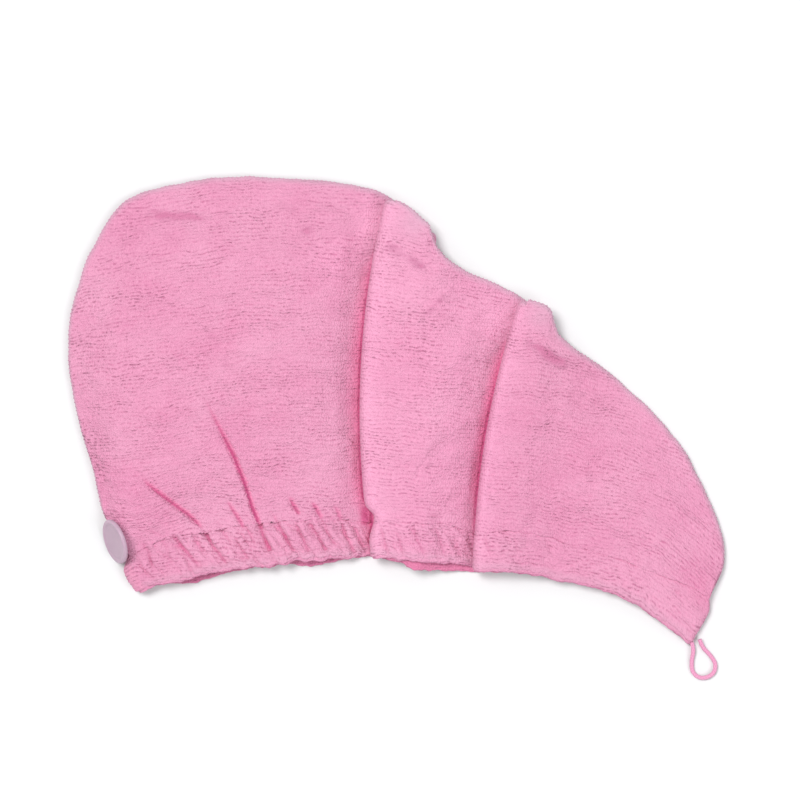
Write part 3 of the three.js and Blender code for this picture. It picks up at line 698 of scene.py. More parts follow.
def mix_colour(tree, fac, a, b, blend="MIX"):
    n = tree.nodes.new("ShaderNodeMix")
    n.data_type = "RGBA"
    n.blend_type = blend
    for socket, v in ((n.inputs[0], fac), (n.inputs[6], a), (n.inputs[7], b)):
        if isinstance(v, (int, float)):
            socket.default_value = v
        elif isinstance(v, tuple):
            socket.default_value = v
        else:
            tree.links.new(v, socket)
    return n.outputs[2]


def srgb(r, g, b):
    def lin(v):
        v /= 255.0
        return v / 12.92 if v <= 0.04045 else ((v + 0.055) / 1.055) ** 2.4

    return (lin(r), lin(g), lin(b), 1.0)


# painted light and shade colours, in this order: deep pink shade in folds and beside the pleats, a painted highlight,
# darker painted shade in deep folds, hotter painted shade in rib grooves inside folds, the dark painted line in sharp
# creases, and a paler greyish painted sheen
FOLD_SHADE_PAINT = srgb(240, 103, 155)
HIGHLIGHT_PAINT = srgb(233, 163, 195)
DARK_SHADE_PAINT = srgb(180, 108, 142)
HOT_GROOVE_SHADE_PAINT = srgb(176, 66, 116)
CREASE_SHADE_PAINT = srgb(170, 52, 106)
SHEEN_PAINT = srgb(199, 158, 178)


def terry_material(name, light, deep, hollow, groove_shade_paint):
    """Terry cloth: ribs and loops that follow the cloth, uneven dye, painted shade that deepens the colour in
    hollows, creases and rib grooves, painted highlights and sheen on loop tops, corners and round edges, and soft
    sheen.
    """
    m = bpy.data.materials.new(name)
    m.use_nodes = True
    t = m.node_tree
    t.nodes.clear()
    out = t.nodes.new("ShaderNodeOutputMaterial")
    p = t.nodes.new("ShaderNodeBsdfPrincipled")
    t.links.new(p.outputs[0], out.inputs[0])
    weave_at = node(t, "ShaderNodeAttribute", _attribute_name="weave")
    parts = t.nodes.new("ShaderNodeSeparateXYZ")
    t.links.new(weave_at.outputs["Vector"], parts.inputs[0])
    along, phase, amp = parts.outputs
    painted_shade_amount = node(t, "ShaderNodeAttribute", _attribute_name="hollow").outputs["Fac"]
    # painted shade: dark ticks in the grooves between the ribs
    wave = math_node(t, "COSINE", math_node(t, "MULTIPLY", phase, 2 * math.pi))
    groove = math_node(t, "POWER", math_node(t, "MULTIPLY_ADD", wave, 0.5, 0.5), 2.6)
    groove = math_node(t, "MULTIPLY", groove, amp)
    # single loops along each rib
    cell = t.nodes.new("ShaderNodeCombineXYZ")
    t.links.new(math_node(t, "MULTIPLY", along, 1 / 1.25), cell.inputs[0])
    t.links.new(math_node(t, "MULTIPLY", phase, 1.9), cell.inputs[1])
    loops = node(t, "ShaderNodeTexVoronoi", _voronoi_dimensions="2D", Scale=1.0, Randomness=0.85)
    t.links.new(cell.outputs[0], loops.inputs["Vector"])
    loop_height = math_node(t, "SUBTRACT", 1.0, math_node(t, "MULTIPLY", loops.outputs["Distance"], 1.15), clamp=True)
    place_at = t.nodes.new("ShaderNodeTexCoord")
    fuzz = node(t, "ShaderNodeTexNoise", Scale=1500.0, Detail=3.0, Roughness=0.6)
    t.links.new(place_at.outputs["Object"], fuzz.inputs["Vector"])
    # each rib breaks off and starts again after a few loops
    dash_at = t.nodes.new("ShaderNodeCombineXYZ")
    t.links.new(math_node(t, "MULTIPLY", along, 1 / 2.1), dash_at.inputs[0])
    t.links.new(math_node(t, "MULTIPLY", phase, 0.93), dash_at.inputs[1])
    dash = node(t, "ShaderNodeTexNoise", _noise_dimensions="2D", Scale=1.0, Detail=1.0, Roughness=0.5)
    t.links.new(dash_at.outputs[0], dash.inputs["Vector"])
    dashes = node(t, "ShaderNodeMapRange", **{"From Min": 0.36, "From Max": 0.6})
    t.links.new(dash.outputs["Fac"], dashes.inputs["Value"])
    groove = math_node(t, "MULTIPLY", groove, dashes.outputs[0])
    # sharp creases: a painted dark line of shade where the cloth closes on itself
    crease = node(t, "ShaderNodeAttribute", _attribute_name="crease")
    crease_parts = t.nodes.new("ShaderNodeSeparateXYZ")
    t.links.new(crease.outputs["Vector"], crease_parts.inputs[0])
    away, crease_shade, painted_light = crease_parts.outputs
    ragged = math_node(t, "MULTIPLY_ADD", loops.outputs["Distance"], 0.5, away)
    narrow = math_node(t, "MULTIPLY_ADD", math_node(t, "POWER", crease_shade, 4.0), 2.15, -2.6)
    narrow = math_node(t, "MULTIPLY", narrow, 0.6)
    crease_line_shade = math_node(t, "EXPONENT", math_node(t, "MULTIPLY", math_node(t, "POWER", math_node(t, "ABSOLUTE", ragged), 2.0), narrow))
    crease_line_shade = math_node(t, "MULTIPLY", crease_line_shade, crease_shade, clamp=True)
    height = math_node(t, "MULTIPLY_ADD", loop_height, 0.5, math_node(t, "MULTIPLY", groove, -0.7))
    height = math_node(t, "MULTIPLY_ADD", crease_line_shade, -0.9, height)
    height = math_node(t, "MULTIPLY_ADD", fuzz.outputs["Fac"], 0.45, height)
    bump = node(t, "ShaderNodeBump", Strength=1.0, Distance=0.0009)
    t.links.new(height, bump.inputs["Height"])
    t.links.new(bump.outputs[0], p.inputs["Normal"])
    # colour
    dye = node(t, "ShaderNodeTexNoise", Scale=26.0, Detail=3.0, Roughness=0.55)
    t.links.new(place_at.outputs["Object"], dye.inputs["Vector"])
    patches = node(t, "ShaderNodeMapRange", **{"From Min": 0.35, "From Max": 0.68})
    t.links.new(dye.outputs["Fac"], patches.inputs["Value"])
    colour = mix_colour(t, patches.outputs[0], light, deep)
    speck = node(t, "ShaderNodeTexNoise", Scale=420.0, Detail=2.0, Roughness=0.6)
    t.links.new(place_at.outputs["Object"], speck.inputs["Vector"])
    specks = node(t, "ShaderNodeMapRange", **{"From Min": 0.3, "From Max": 0.75, "To Min": 0.0, "To Max": 0.35})
    t.links.new(speck.outputs["Fac"], specks.inputs["Value"])
    colour = mix_colour(t, specks.outputs[0], colour, tuple(min(1.0, v * 1.12) for v in light[:3]) + (1.0,))
    # painted highlight on the tops of the loops
    loop_top_highlight = math_node(t, "MULTIPLY", math_node(t, "POWER", loop_height, 3.0), 0.55, clamp=True)
    colour = mix_colour(t, loop_top_highlight, colour, tuple(min(1.0, v * 1.3) for v in light[:3]) + (1.0,))
    # painted shade: the colour deepens in folds and beside the pleats
    colour = mix_colour(t, math_node(t, "MULTIPLY", painted_shade_amount, 0.85, clamp=True), colour, hollow)
    # painted highlight where the painted shade amount is below zero
    colour = mix_colour(t, math_node(t, "MULTIPLY", painted_shade_amount, -0.9, clamp=True), colour, HIGHLIGHT_PAINT)
    # the painted groove shade turns hotter pink inside the painted fold shade
    groove_shade_mix = mix_colour(t, math_node(t, "MULTIPLY", painted_shade_amount, 1.0, clamp=True), groove_shade_paint, HOT_GROOVE_SHADE_PAINT)
    colour = mix_colour(t, math_node(t, "MULTIPLY", groove, 0.85, clamp=True), colour, groove_shade_mix)
    # painted shade, darker, in deep folds and under the hem, and painted sheen, paler and greyer, on raised corners
    # and round edges
    colour = mix_colour(t, math_node(t, "MULTIPLY", painted_light, -0.8, clamp=True), colour, DARK_SHADE_PAINT)
    colour = mix_colour(t, math_node(t, "MULTIPLY", painted_light, 0.75, clamp=True), colour, SHEEN_PAINT)
    # painted shade: the dark line in sharp creases, along the pleats' edges and at the notch
    colour = mix_colour(t, math_node(t, "MULTIPLY", crease_line_shade, 0.88, clamp=True), colour, CREASE_SHADE_PAINT)
    t.links.new(colour, p.inputs["Base Color"])
    rough = math_node(t, "MULTIPLY_ADD", fuzz.outputs["Fac"], 0.14, 0.84)
    t.links.new(rough, p.inputs["Roughness"])
    p.inputs["Specular IOR Level"].default_value = 0.18
    p.inputs["Sheen Weight"].default_value = 0.16
    p.inputs["Sheen Roughness"].default_value = 0.45
    p.inputs["Sheen Tint"].default_value = (1.0, 0.74, 0.86, 1.0)
    return m


# painted shade in the grooves between the ribs
GROOVE_SHADE_PAINT = srgb(184, 100, 136)
terry = terry_material("terry_pink", srgb(207, 143, 171), srgb(200, 125, 158), FOLD_SHADE_PAINT, GROOVE_SHADE_PAINT)
# painted shade: the under panel's copy of the terry is a little darker than the upper panel's
terry_under = terry_material("terry_pink_under", srgb(204, 138, 167), srgb(197, 120, 155), FOLD_SHADE_PAINT, GROOVE_SHADE_PAINT)
terry_band = terry_material("terry_pink_band", srgb(208, 144, 172), srgb(201, 126, 159), FOLD_SHADE_PAINT, GROOVE_SHADE_PAINT)


def thread_material():
    m = bpy.data.materials.new("sewing_thread")
    m.use_nodes = True
    t = m.node_tree
    p = t.nodes["Principled BSDF"]
    where = t.nodes.new("ShaderNodeTexCoord")
    twist = node(t, "ShaderNodeTexWave", Scale=900.0, Distortion=2.0, Detail=1.0)
    t.links.new(where.outputs["Object"], twist.inputs["Vector"])
    # painted shade: darker in the grooves of the twist, lighter on its ridges
    colour = mix_colour(t, twist.outputs["Fac"], srgb(196, 108, 150), srgb(220, 146, 182))
    t.links.new(colour, p.inputs["Base Color"])
    bump = node(t, "ShaderNodeBump", Strength=0.5, Distance=0.0001)
    t.links.new(twist.outputs["Fac"], bump.inputs["Height"])
    t.links.new(bump.outputs[0], p.inputs["Normal"])
    p.inputs["Roughness"].default_value = 0.6
    p.inputs["Sheen Weight"].default_value = 0.2
    return m


thread = thread_material()


def button_material():
    m = bpy.data.materials.new("button_plastic")
    m.use_nodes = True
    t = m.node_tree
    p = t.nodes["Principled BSDF"]
    where = t.nodes.new("ShaderNodeTexCoord")
    cloud = node(t, "ShaderNodeTexNoise", Scale=90.0, Detail=3.0, Roughness=0.5)
    t.links.new(where.outputs["Object"], cloud.inputs["Vector"])
    colour = mix_colour(t, cloud.outputs["Fac"], srgb(168, 142, 160), srgb(184, 158, 175))
    t.links.new(colour, p.inputs["Base Color"])
    fine = node(t, "ShaderNodeTexNoise", Scale=1800.0, Detail=2.0)
    t.links.new(where.outputs["Object"], fine.inputs["Vector"])
    rough = math_node(t, "MULTIPLY_ADD", fine.outputs["Fac"], 0.16, 0.34)
    t.links.new(rough, p.inputs["Roughness"])
    bump = node(t, "ShaderNodeBump", Strength=0.12, Distance=0.0001)
    t.links.new(fine.outputs["Fac"], bump.inputs["Height"])
    t.links.new(bump.outputs[0], p.inputs["Normal"])
    p.inputs["Subsurface Weight"].default_value = 0.35
    p.inputs["Subsurface Radius"].default_value = (0.004, 0.0028, 0.0034)
    p.inputs["Subsurface Scale"].default_value = 1.0
    p.inputs["Specular IOR Level"].default_value = 0.4
    return m


def elastic_material():
    m = bpy.data.materials.new("braided_elastic")
    m.use_nodes = True
    t = m.node_tree
    p = t.nodes["Principled BSDF"]
    braid = node(t, "ShaderNodeAttribute", _attribute_name="braid").outputs["Fac"]
    where = t.nodes.new("ShaderNodeTexCoord")
    fibre = node(t, "ShaderNodeTexNoise", Scale=2200.0, Detail=2.0)
    t.links.new(where.outputs["Object"], fibre.inputs["Vector"])
    # painted shade between the braid's strands and painted highlight on their crowns
    colour = mix_colour(t, braid, srgb(176, 92, 134), srgb(220, 148, 182))
    mixed = mix_colour(t, math_node(t, "MULTIPLY", fibre.outputs["Fac"], 0.3), colour, srgb(228, 168, 198))
    t.links.new(mixed, p.inputs["Base Color"])
    bump = node(t, "ShaderNodeBump", Strength=0.5, Distance=0.0001)
    t.links.new(fibre.outputs["Fac"], bump.inputs["Height"])
    t.links.new(bump.outputs[0], p.inputs["Normal"])
    p.inputs["Roughness"].default_value = 0.72
    p.inputs["Sheen Weight"].default_value = 0.25
    return m


# ---------------------------------------------------------------- the two panels
SPACING = 0.95
ROW_STEP = 0.62
TUCK = 2.4  # how far the panels reach in under the band, where the stitches hold them


def panel_object(name, side, material, target):
    c = columns(SPACING, 0.72, 14, 4)
    length = ray(c)[0]
    n = len(length)
    run = length - c["band"] + TUCK
    rows = int(math.ceil(run.max() / ROW_STEP))
    # rows crowd a little near the crown seam, where the edge is round
    near = np.array([0, 0.12, 0.35, 0.7, 1.15, 1.7, 2.3, 3.0, 3.8, 4.7])
    share = np.linspace(0, 1, rows + 1)[None, :]
    e = share * run
    crowd = np.minimum(near[None, :], share[:, : len(near)] * 0 + near[None, :] * run / 60.0)
    e[:, : len(near)] = np.minimum(np.minimum(near[None, :], crowd), e[:, len(near) : len(near) + 1] * near[None, :] / 5.6)
    e[:, 0] = 0
    r = length - e
    gap = gap_at(c, r)
    seam = PIECE_GAP / 2
    outer = seam + (PLY + gap / 2 - seam) * round_edge(e)
    x0, y0 = plan(c, r)
    raised = relief(c, r, x0, y0) if side > 0 else None
    p = place(c, r, side * outer, raised)
    normal = grid_normals(p)
    if side < 0:
        normal = -normal
    v = grain_of(c, r, x0, y0)
    phase, amp, height = weave(p[..., 0], v, 101 if side > 0 else 301)
    # the line of stitches presses the terry down beside the band
    press = -0.28 * np.exp(-(((r - c["band"]) / 2.0) ** 2)) - 0.55 * smooth((c["band"] - r - 0.9) / 1.8)
    if side > 0:
        press = press + rest_of(c, r, raised) * np.where(c["panel"] == 3, 0.0, 1.0)
    seen = np.where(c["turning"] > 0, 0.6, 1.0) * np.where((c["panel"] == 3) & (c["turning"] == 0), 0.0, 1.0)
    lift = (height * seen + press * seen) * smooth(e / 1.2 + 0.15)
    if side < 0:
        # the side that lies down is pressed flat: ribs only cut into it
        lift = np.minimum(lift, 0.0)
    up = np.sign(normal[..., 2:3]) if False else 1.0
    p = p + normal * lift[..., None] * up
    p[..., 2] = np.maximum(p[..., 2], 0.0)

    # the inner face, with fewer rows
    inner_rows = 16
    share_in = np.linspace(0, 1, inner_rows + 1)[None, :] ** 1.5
    e_in = share_in * run
    r_in = length - e_in
    gap_in = gap_at(c, r_in)
    inner = seam + (gap_in / 2 - seam) * round_edge(np.maximum(0, e_in - 1.6))
    xi, yi = plan(c, r_in)
    raised_in = relief(c, r_in, xi, yi) if side > 0 else None
    q = place(c, r_in, side * inner, raised_in)

    rows_out = p.shape[1]
    verts = [p.reshape(-1, 3), q[:, 1:].reshape(-1, 3)]
    base = n * rows_out
    per = q.shape[1] - 1

    def out(i, j):
        return i * rows_out + j

    def inn(i, j):
        return np.where(j == 0, i * rows_out, base + i * per + j - 1)

    i, j = np.meshgrid(np.arange(n - 1), np.arange(rows_out - 1), indexing="ij")
    i, j = i.ravel(), j.ravel()
    faces = [np.stack([out(i, j), out(i, j + 1), out(i + 1, j + 1), out(i + 1, j)], -1)]
    i, j = np.meshgrid(np.arange(n - 1), np.arange(1, q.shape[1] - 1), indexing="ij")
    i, j = i.ravel(), j.ravel()
    faces.append(np.stack([inn(i, j), inn(i + 1, j), inn(i + 1, j + 1), inn(i, j + 1)], -1))
    i = np.arange(n - 1)
    zero, one = np.zeros_like(i), np.ones_like(i)
    faces.append(np.stack([inn(i, zero), inn(i + 1, zero), inn(i + 1, one), inn(i, one)], -1))
    last_out, last_in = rows_out - 1, q.shape[1] - 1
    faces.append(
        np.stack([out(i, last_out), inn(i, one * last_in), inn(i + 1, one * last_in), out(i + 1, last_out)], -1)
    )
    for col, flip in ((0, False), (n - 1, True)):
        a = np.array([out(col, k) for k in range(rows_out)])
        b = np.array([int(inn(np.array(col), np.array(k))) for k in range(q.shape[1])])
        tri = zip_rows(list(a), list(b))
        faces.append(tri[:, ::-1] if flip else tri)
    verts = np.concatenate(verts)
    # painted shade and light for the visible panel, kept as point attributes
    hollow = np.zeros(len(verts))
    if raised is not None:
        hollow[: n * rows_out] = hollow_of(c, raised, x0, y0).ravel()
    w = np.zeros((len(verts), 3))
    folds = np.zeros((len(verts), 3))
    folds[:, 0] = 3.0
    if side > 0:
        away, crease_shade = crease_of(c, x0, y0)
        folds[: n * rows_out, 0] = away.ravel()
        folds[: n * rows_out, 1] = crease_shade.ravel()
    # painted sheen: paler, greyer pink on the round edge at the crown seam
    painted_light = np.exp(-((e / 2.6) ** 2)) + 0 * x0
    if side > 0:
        painted_light = painted_light + painted_light_of(c, raised, x0, y0)
    folds[: n * rows_out, 2] = painted_light.ravel()
    w[: n * rows_out, 0] = p[..., 0].ravel()
    w[: n * rows_out, 1] = phase.ravel()
    w[: n * rows_out, 2] = amp.ravel()
    vi = grain_of(c, r_in, xi, yi)[:, 1:]
    w[n * rows_out :, 0] = q[:, 1:, 0].ravel()
    w[n * rows_out :, 1] = (vi / RIB_PITCH).ravel()
    w[n * rows_out :, 2] = 0.6
    faces = orient_outwards(verts, faces)
    ob = make_object(name, verts, faces, material, {"weave": w, "hollow": hollow, "crease": folds})
    print(name, "before thinning", sum(len(f) * (f.shape[1] - 2) for f in faces))
    return thinned(ob, target), c


def painted_light_of(c, raised, x, y):
    """Painted light: above zero for a paler painted sheen at the folded corners; below zero for darker painted shade
    in the deeper folds.
    """
    panel = np.broadcast_to(c["panel"], x.shape)
    painted_light = np.zeros(x.shape)
    for number, at, reach in ((1, (414, 222), 11.0), (2, (541, 316), 9.0)):
        cx, cy = px(*at)
        painted_light += np.where(panel == number, 0.6 * np.exp(-((x - cx) ** 2 + (y - cy) ** 2) / reach**2), 0.0)
    deep_fold_shade = 0.8 * smooth(np.maximum(-raised - 2.1, 0) / 2.2)
    return painted_light - np.where(panel < 3, deep_fold_shade, 0.0)


def hollow_of(c, raised, x, y):
    """Painted shade and light, -1 to 1: from 0 to 1 by how deep a point lies in a fold, where the colour is painted
    deeper, and below zero where a painted highlight lightens it.
    """
    deep = smooth(np.maximum(-raised - 2.4, 0) / 3.2) * 0.7
    panel = np.broadcast_to(c["panel"], x.shape)
    # painted shade beside the pleats, where the cap and the middle panel sink under the next fold
    for number, line, painted_glow in ((0, fold_edge(MIDDLE, 1.0), PAINTED_GLOW_1), (1, fold_edge(TAIL, 0.0), PAINTED_GLOW_2)):
        away, along = signed_to(line, x, y)
        away = np.abs(away)
        near = 0.42 * np.exp(-((away / 7.5) ** 2)) + 0.35 * np.exp(-away / 1.7)
        near = near * np.interp(along / (len(line) - 1), *painted_glow)
        deep = np.maximum(deep, np.where(panel == number, near, 0))
    # and painted shade on the two sides of a sharp crease
    away, crease_shade = crease_of(c, x, y)
    deep = np.maximum(deep, 0.85 * crease_shade * np.exp(-(((away - 0.5) / 1.7) ** 2)))
    # painted highlight: a little on all flat panels, more on the middle panel, on the pleats' turned edges, where the
    # first pleat starts and on a few spots, one of them beside the button where it shades the cloth; one spot on the
    # tail is painted darker
    light = np.select([panel == 1, panel < 3], [0.3, 0.08], 0.0)
    near_turn = np.minimum(np.abs(c["hemX"] - MIDDLE[0][0]), np.abs(c["hemX"] - TAIL[0][0]))
    light = light + np.where((panel == 1) | (panel == 2), 0.3 * np.exp(-((near_turn / 4.0) ** 2)), 0.0)
    light = light + np.where((c["turning"] > 0) & (c["face"] < 0), 0.6 * (0.5 - 0.5 * np.cos(c["turn"])) ** 2, 0.0)
    for number, at, reach, more in ((0, (374, 226), (9.0, 15.0), 0.8), (1, (500, 322), (8.0, 9.0), 0.5), (0, (330, 262), (13.0, 18.0), 0.35), (0, (130, 546), (4.5, 13.0), 0.7), (2, (704, 588), (18.0, 20.0), -0.12)):
        cx, cy = px(*at)
        light = light + np.where(panel == number, more * np.exp(-(((x - cx) / reach[0]) ** 2) - ((y - cy) / reach[1]) ** 2), 0.0)
    # painted shade on the turning and folded-back layers under the pleats
    hidden = np.where(c["turning"] > 0, np.where(c["face"] < 0, (0.5 + 0.5 * np.cos(c["turn"])) ** 3, 1.0), 1.0)
    deep = np.maximum(deep, np.where(panel == 3, 0.75 * hidden, 0))
    return np.clip(deep - light * (1 - clamp01(deep * 1.5)), -1, 1)


upper, cols = panel_object("upper_panel_terry", 1, terry, 196000)
under, _ = panel_object("under_panel_terry", -1, terry_under, 120000)


# ---------------------------------------------------------------- the gathered band
NAPE_BULGE = 2.8  # the casing's end at the nape is fuller than the panels


def band_object(name, material, target):
    step = 0.85
    c = columns(step, 0.06, 12, 4)
    low = columns(step * 1.5, 0.06, 8, 4)
    length = ray(c)[0]

    def slice_of(cc, side, fine):
        band = cc["band"]
        m = int(round(30 / (step if fine else step * 1.6)))
        a = np.linspace(1, 0, m + 1)[None, :]
        r_out = 2.4 + (band - 2.4) * a
        t_out = np.full_like(r_out, PLY)
        angle = np.linspace(0, math.pi, 9)[1:-1][None, :]
        r_rim = 2.4 * (1 - np.sin(angle)) + 0 * band
        t_rim = PLY * (0.5 + 0.5 * np.cos(angle)) + 0 * band
        b = np.array([0, 0.025, 0.05, 0.08, 0.11, 0.15, 0.2, 0.3, 0.5, 0.75, 1])[None, :]
        r_in = 2.4 + (band - 2.4) * b
        t_in = np.zeros_like(r_in)
        return np.concatenate([r_out, r_rim, r_in], 1), np.concatenate([t_out, t_rim, t_in], 1), m + 1, 7

    def surface(cc, side, fine):
        r, thick, n_out, n_rim = slice_of(cc, side, fine)
        inside = gap_at(cc, np.minimum(r, cc["band"])) / 2
        x0, y0 = plan(cc, r)
        raised = relief(cc, r, x0, y0) if side > 0 else None
        p = place(cc, r, side * (inside + thick), raised)
        return r, thick, n_out, n_rim, p, x0, y0, raised

    sheets = []
    for cc, side, fine in ((c, 1, True), (low, -1, True)):
        r, thick, n_out, n_rim, p, x0, y0, raised = surface(cc, side, fine)
        sheets.append(dict(c=cc, side=side, r=r, thick=thick, p=p, x0=x0, y0=y0, raised=raised, n_out=n_out, n_rim=n_rim))

    def round_end(cc, at, side, order, steps):
        one = {k: v[at : at + 1] if at >= 0 else v[-1:] for k, v in cc.items()}
        r, thick, *_ = slice_of(one, side, True)
        gap = gap_at(one, r)
        radius = gap / 2 + thick
        x, y = plan(one, r)
        rx, ry = right_of(one, r)
        rings = []
        for k in order:
            angle = math.pi * k / steps
            narrow = 0.2 + 0.8 * smooth((one["band"] - r) / 9.0)
            out = side * narrow * (radius + (NAPE_BULGE * np.sin(math.pi * clamp01(r / (1.1 * one["band"]) + 0.12)) if side < 0 else 0)) * math.sin(angle)
            rings.append(np.stack([x + rx * out, y + ry * out, one["lift"] + PLY + gap / 2 + radius * math.cos(angle)], -1)[0])
        return np.array(rings), one, r, thick

    steps = 10
    ks = list(range(1, steps))
    tip, tip_c, tip_r, tip_t = round_end(c, -1, 1, ks, steps)
    nape, nape_c, nape_r, nape_t = round_end(c, 0, -1, ks[::-1], steps)
    up, dn = sheets
    ring_p = np.concatenate([up["p"], tip, dn["p"][::-1], nape])
    count = len(ring_p)
    r_all = np.concatenate([up["r"], np.repeat(tip_r, len(ks), 0), dn["r"][::-1], np.repeat(nape_r, len(ks), 0)])
    thick_all = np.concatenate([up["thick"], np.repeat(tip_t, len(ks), 0), dn["thick"][::-1], np.repeat(nape_t, len(ks), 0)])

    def field(key):
        return np.concatenate(
            [up["c"][key], np.repeat(tip_c[key], len(ks), 0), dn["c"][key][::-1], np.repeat(nape_c[key], len(ks), 0)]
        )

    cc = {k: field(k) for k in FIELDS}
    lower = np.zeros((count, 1), bool)
    lower[len(up["p"]) + len(ks) : len(up["p"]) + len(ks) + len(dn["p"])] = True
    # normals on the closed ring
    du = np.roll(ring_p, -1, 0) - np.roll(ring_p, 1, 0)
    dv = np.roll(ring_p, -1, 1) - np.roll(ring_p, 1, 1)
    normal = np.cross(du, dv)
    normal /= np.maximum(np.linalg.norm(normal, axis=-1, keepdims=True), 1e-9)
    n_out, n_rim = up["n_out"], up["n_rim"]
    # outward on the first row is away from the inner face
    inner_mid = ring_p[:, n_out + n_rim + 2]
    outer_mid = ring_p[:, n_out // 2]
    sign = np.sign(np.einsum("ij,ij->", normal[:, n_out // 2], outer_mid - inner_mid))
    normal *= sign
    x0, y0 = plan(cc, r_all)
    v = grain_of(cc, r_all, x0, y0)
    phase, amp, height = weave(ring_p[..., 0], v, 101)
    ph2, amp2, h2 = weave(ring_p[..., 0], v, 401)
    phase = np.where(lower, ph2, phase)
    amp = np.where(lower, amp2, amp)
    height = np.where(lower, h2, height)
    col = np.arange(ring_p.shape[1])[None, :]
    outside = (col < n_out + n_rim) * 1.0
    puff = 0.9 * np.sin(math.pi * clamp01(r_all / cc["band"])) ** 0.7
    press = -0.75 * smooth((r_all - cc["band"] + 3.0) / 3.0) - 0.1 * np.exp(-(((r_all - cc["band"] + 2) / 2.0) ** 2))
    # the turned hem is a soft roll with a faint groove above it, broken here and there
    along_hem = 0.5 + 0.9 * noise2(ring_p[..., 0] / 13, 0 * r_all, 75)
    press += -0.55 * clamp01(along_hem) * np.exp(-(((r_all - 7.2) / 1.1) ** 2))
    puff = puff + 0.45 * np.exp(-(((r_all - 3.2) / 2.6) ** 2))
    hidden = ((cc["panel"] == 3) & (cc["turning"] == 0)) * 1.0
    on_face = (col < n_out) * 1.0
    lift = height * outside + (puff + press) * on_face * (1 - hidden) * np.where(lower, 0.0, 1.0)
    n_up = len(up["p"])
    rest = rest_of(up["c"], up["r"], up["raised"]) * np.where(up["c"]["panel"] == 3, 0.0, 1.0)
    bunched = np.select([up["c"]["panel"] == 0, up["c"]["panel"] == 1, up["c"]["panel"] == 2], [1.0, 0.9, 0.35], 0.0)
    lift[:n_up] += rest * on_face + bunched * bumps_of(up["x0"], up["y0"]) * on_face
    # the inside of the lower layer shows past the upper hem
    lift = lift + np.where(lower & (col >= n_out + n_rim), height * np.exp(-((r_all / 7.0) ** 2)), 0.0)
    # the hem's edge is uneven and fluffy
    s = np.concatenate([[0], np.cumsum(np.linalg.norm(np.diff(ring_p[:, n_out + 3], axis=0), axis=-1))])[:, None]
    edge = np.exp(-((r_all / 3.0) ** 2))
    lift = lift + outside * edge * (0.8 * noise2(s / 8.5, r_all / 6, 71) + 0.45 * noise2(s / 3.1, r_all / 2.5, 72))
    lift = np.where(lower & (col < n_out), np.minimum(lift, 0.0), lift)
    # each gather lifts the upper hem a little
    notch = np.zeros((n_up, 1))
    hem_x = up["x0"][:, n_out - 1 : n_out]
    for row in FOLDS:
        end = px(*row[1][-1])
        if min(row[3], row[4]) < 2.3 and row[1][-1][1] > 544:
            notch += np.where(up["c"]["panel"] == row[0], 0.3 * row[2] * np.exp(-(((hem_x - end[0] - 1.0) / 2.6) ** 2)), 0.0)
    notch = np.minimum(notch * (1 + 0.9 * noise2(hem_x / 14, 0 * hem_x, 78)), 1.5) * np.exp(-((up["r"] / 5.5) ** 2))
    length_up, ux, uy = ray(up["c"])
    ring_p[:n_up, :, 0] += ux * notch
    ring_p[:n_up, :, 1] += uy * notch
    # where the layer is pressed between others nothing swells
    p = ring_p + normal * (lift * np.where(cc["turning"] > 0, 0.6, 1.0) * (1 - hidden * 0.8))[..., None]
    p[..., 2] = np.maximum(p[..., 2], 0.0)
    k = p.shape[1]
    i, j = np.meshgrid(np.arange(count), np.arange(k), indexing="ij")
    i, j = i.ravel(), j.ravel()
    i2, j2 = (i + 1) % count, (j + 1) % k
    faces = [np.stack([i * k + j, i * k + j2, i2 * k + j2, i2 * k + j], -1)]
    verts = p.reshape(-1, 3)
    faces = orient_outwards(verts, faces)
    # painted shade and light for the band, kept as point attributes
    hollow = np.zeros((count, k))
    hollow[: len(up["p"])] = hollow_of(up["c"], up["raised"], up["x0"], up["y0"])
    # painted shade on the lower layer where it shows past the upper hem
    hollow[len(up["p"]) + len(ks) : len(up["p"]) + len(ks) + len(dn["p"])] = 0.45
    folds = np.zeros((count, k, 3))
    folds[..., 0] = 3.0
    folds[:n_up, :, 0], folds[:n_up, :, 1] = crease_of(up["c"], up["x0"], up["y0"])
    folds[:n_up, n_out + n_rim :, 1] = 0
    # darker painted shade there too, and on the nape's round end a little painted shade with painted sheen
    folds[lower[:, 0], :, 2] = -0.35
    hollow[n_up + len(ks) + len(dn["p"]) :] = 0.2
    folds[n_up + len(ks) + len(dn["p"]) :, :, 2] = 0.3
    # painted sheen along the hem's roll, painted light and shade from the folds and corners, and painted shade right
    # at the hem's edge
    folds[:n_up, :, 2] = 0.35 * np.exp(-(((up["r"] - 3.6) / 3.0) ** 2)) * (col < n_out + n_rim)
    folds[:n_up, :, 2] += 0.5 * painted_light_of(up["c"], up["raised"], up["x0"], up["y0"]) - 0.5 * np.exp(-((up["r"] / 1.6) ** 2))
    w = np.stack([ring_p[..., 0], phase, amp * np.ones_like(phase)], -1)
    ob = make_object(name, verts, faces, material, {"weave": w.reshape(-1, 3), "hollow": hollow.ravel(), "crease": folds.reshape(-1, 3)})
    print(name, "before thinning", 2 * len(faces[0]))
    rows = {"p": p, "normal": normal, "r": r_all, "c": cc, "n_up": len(up["p"]), "n_out": n_out, "lower": lower}
    return thinned(ob, target), rows


band, band_rows = band_object("hem_band_terry", terry_band, 150000)


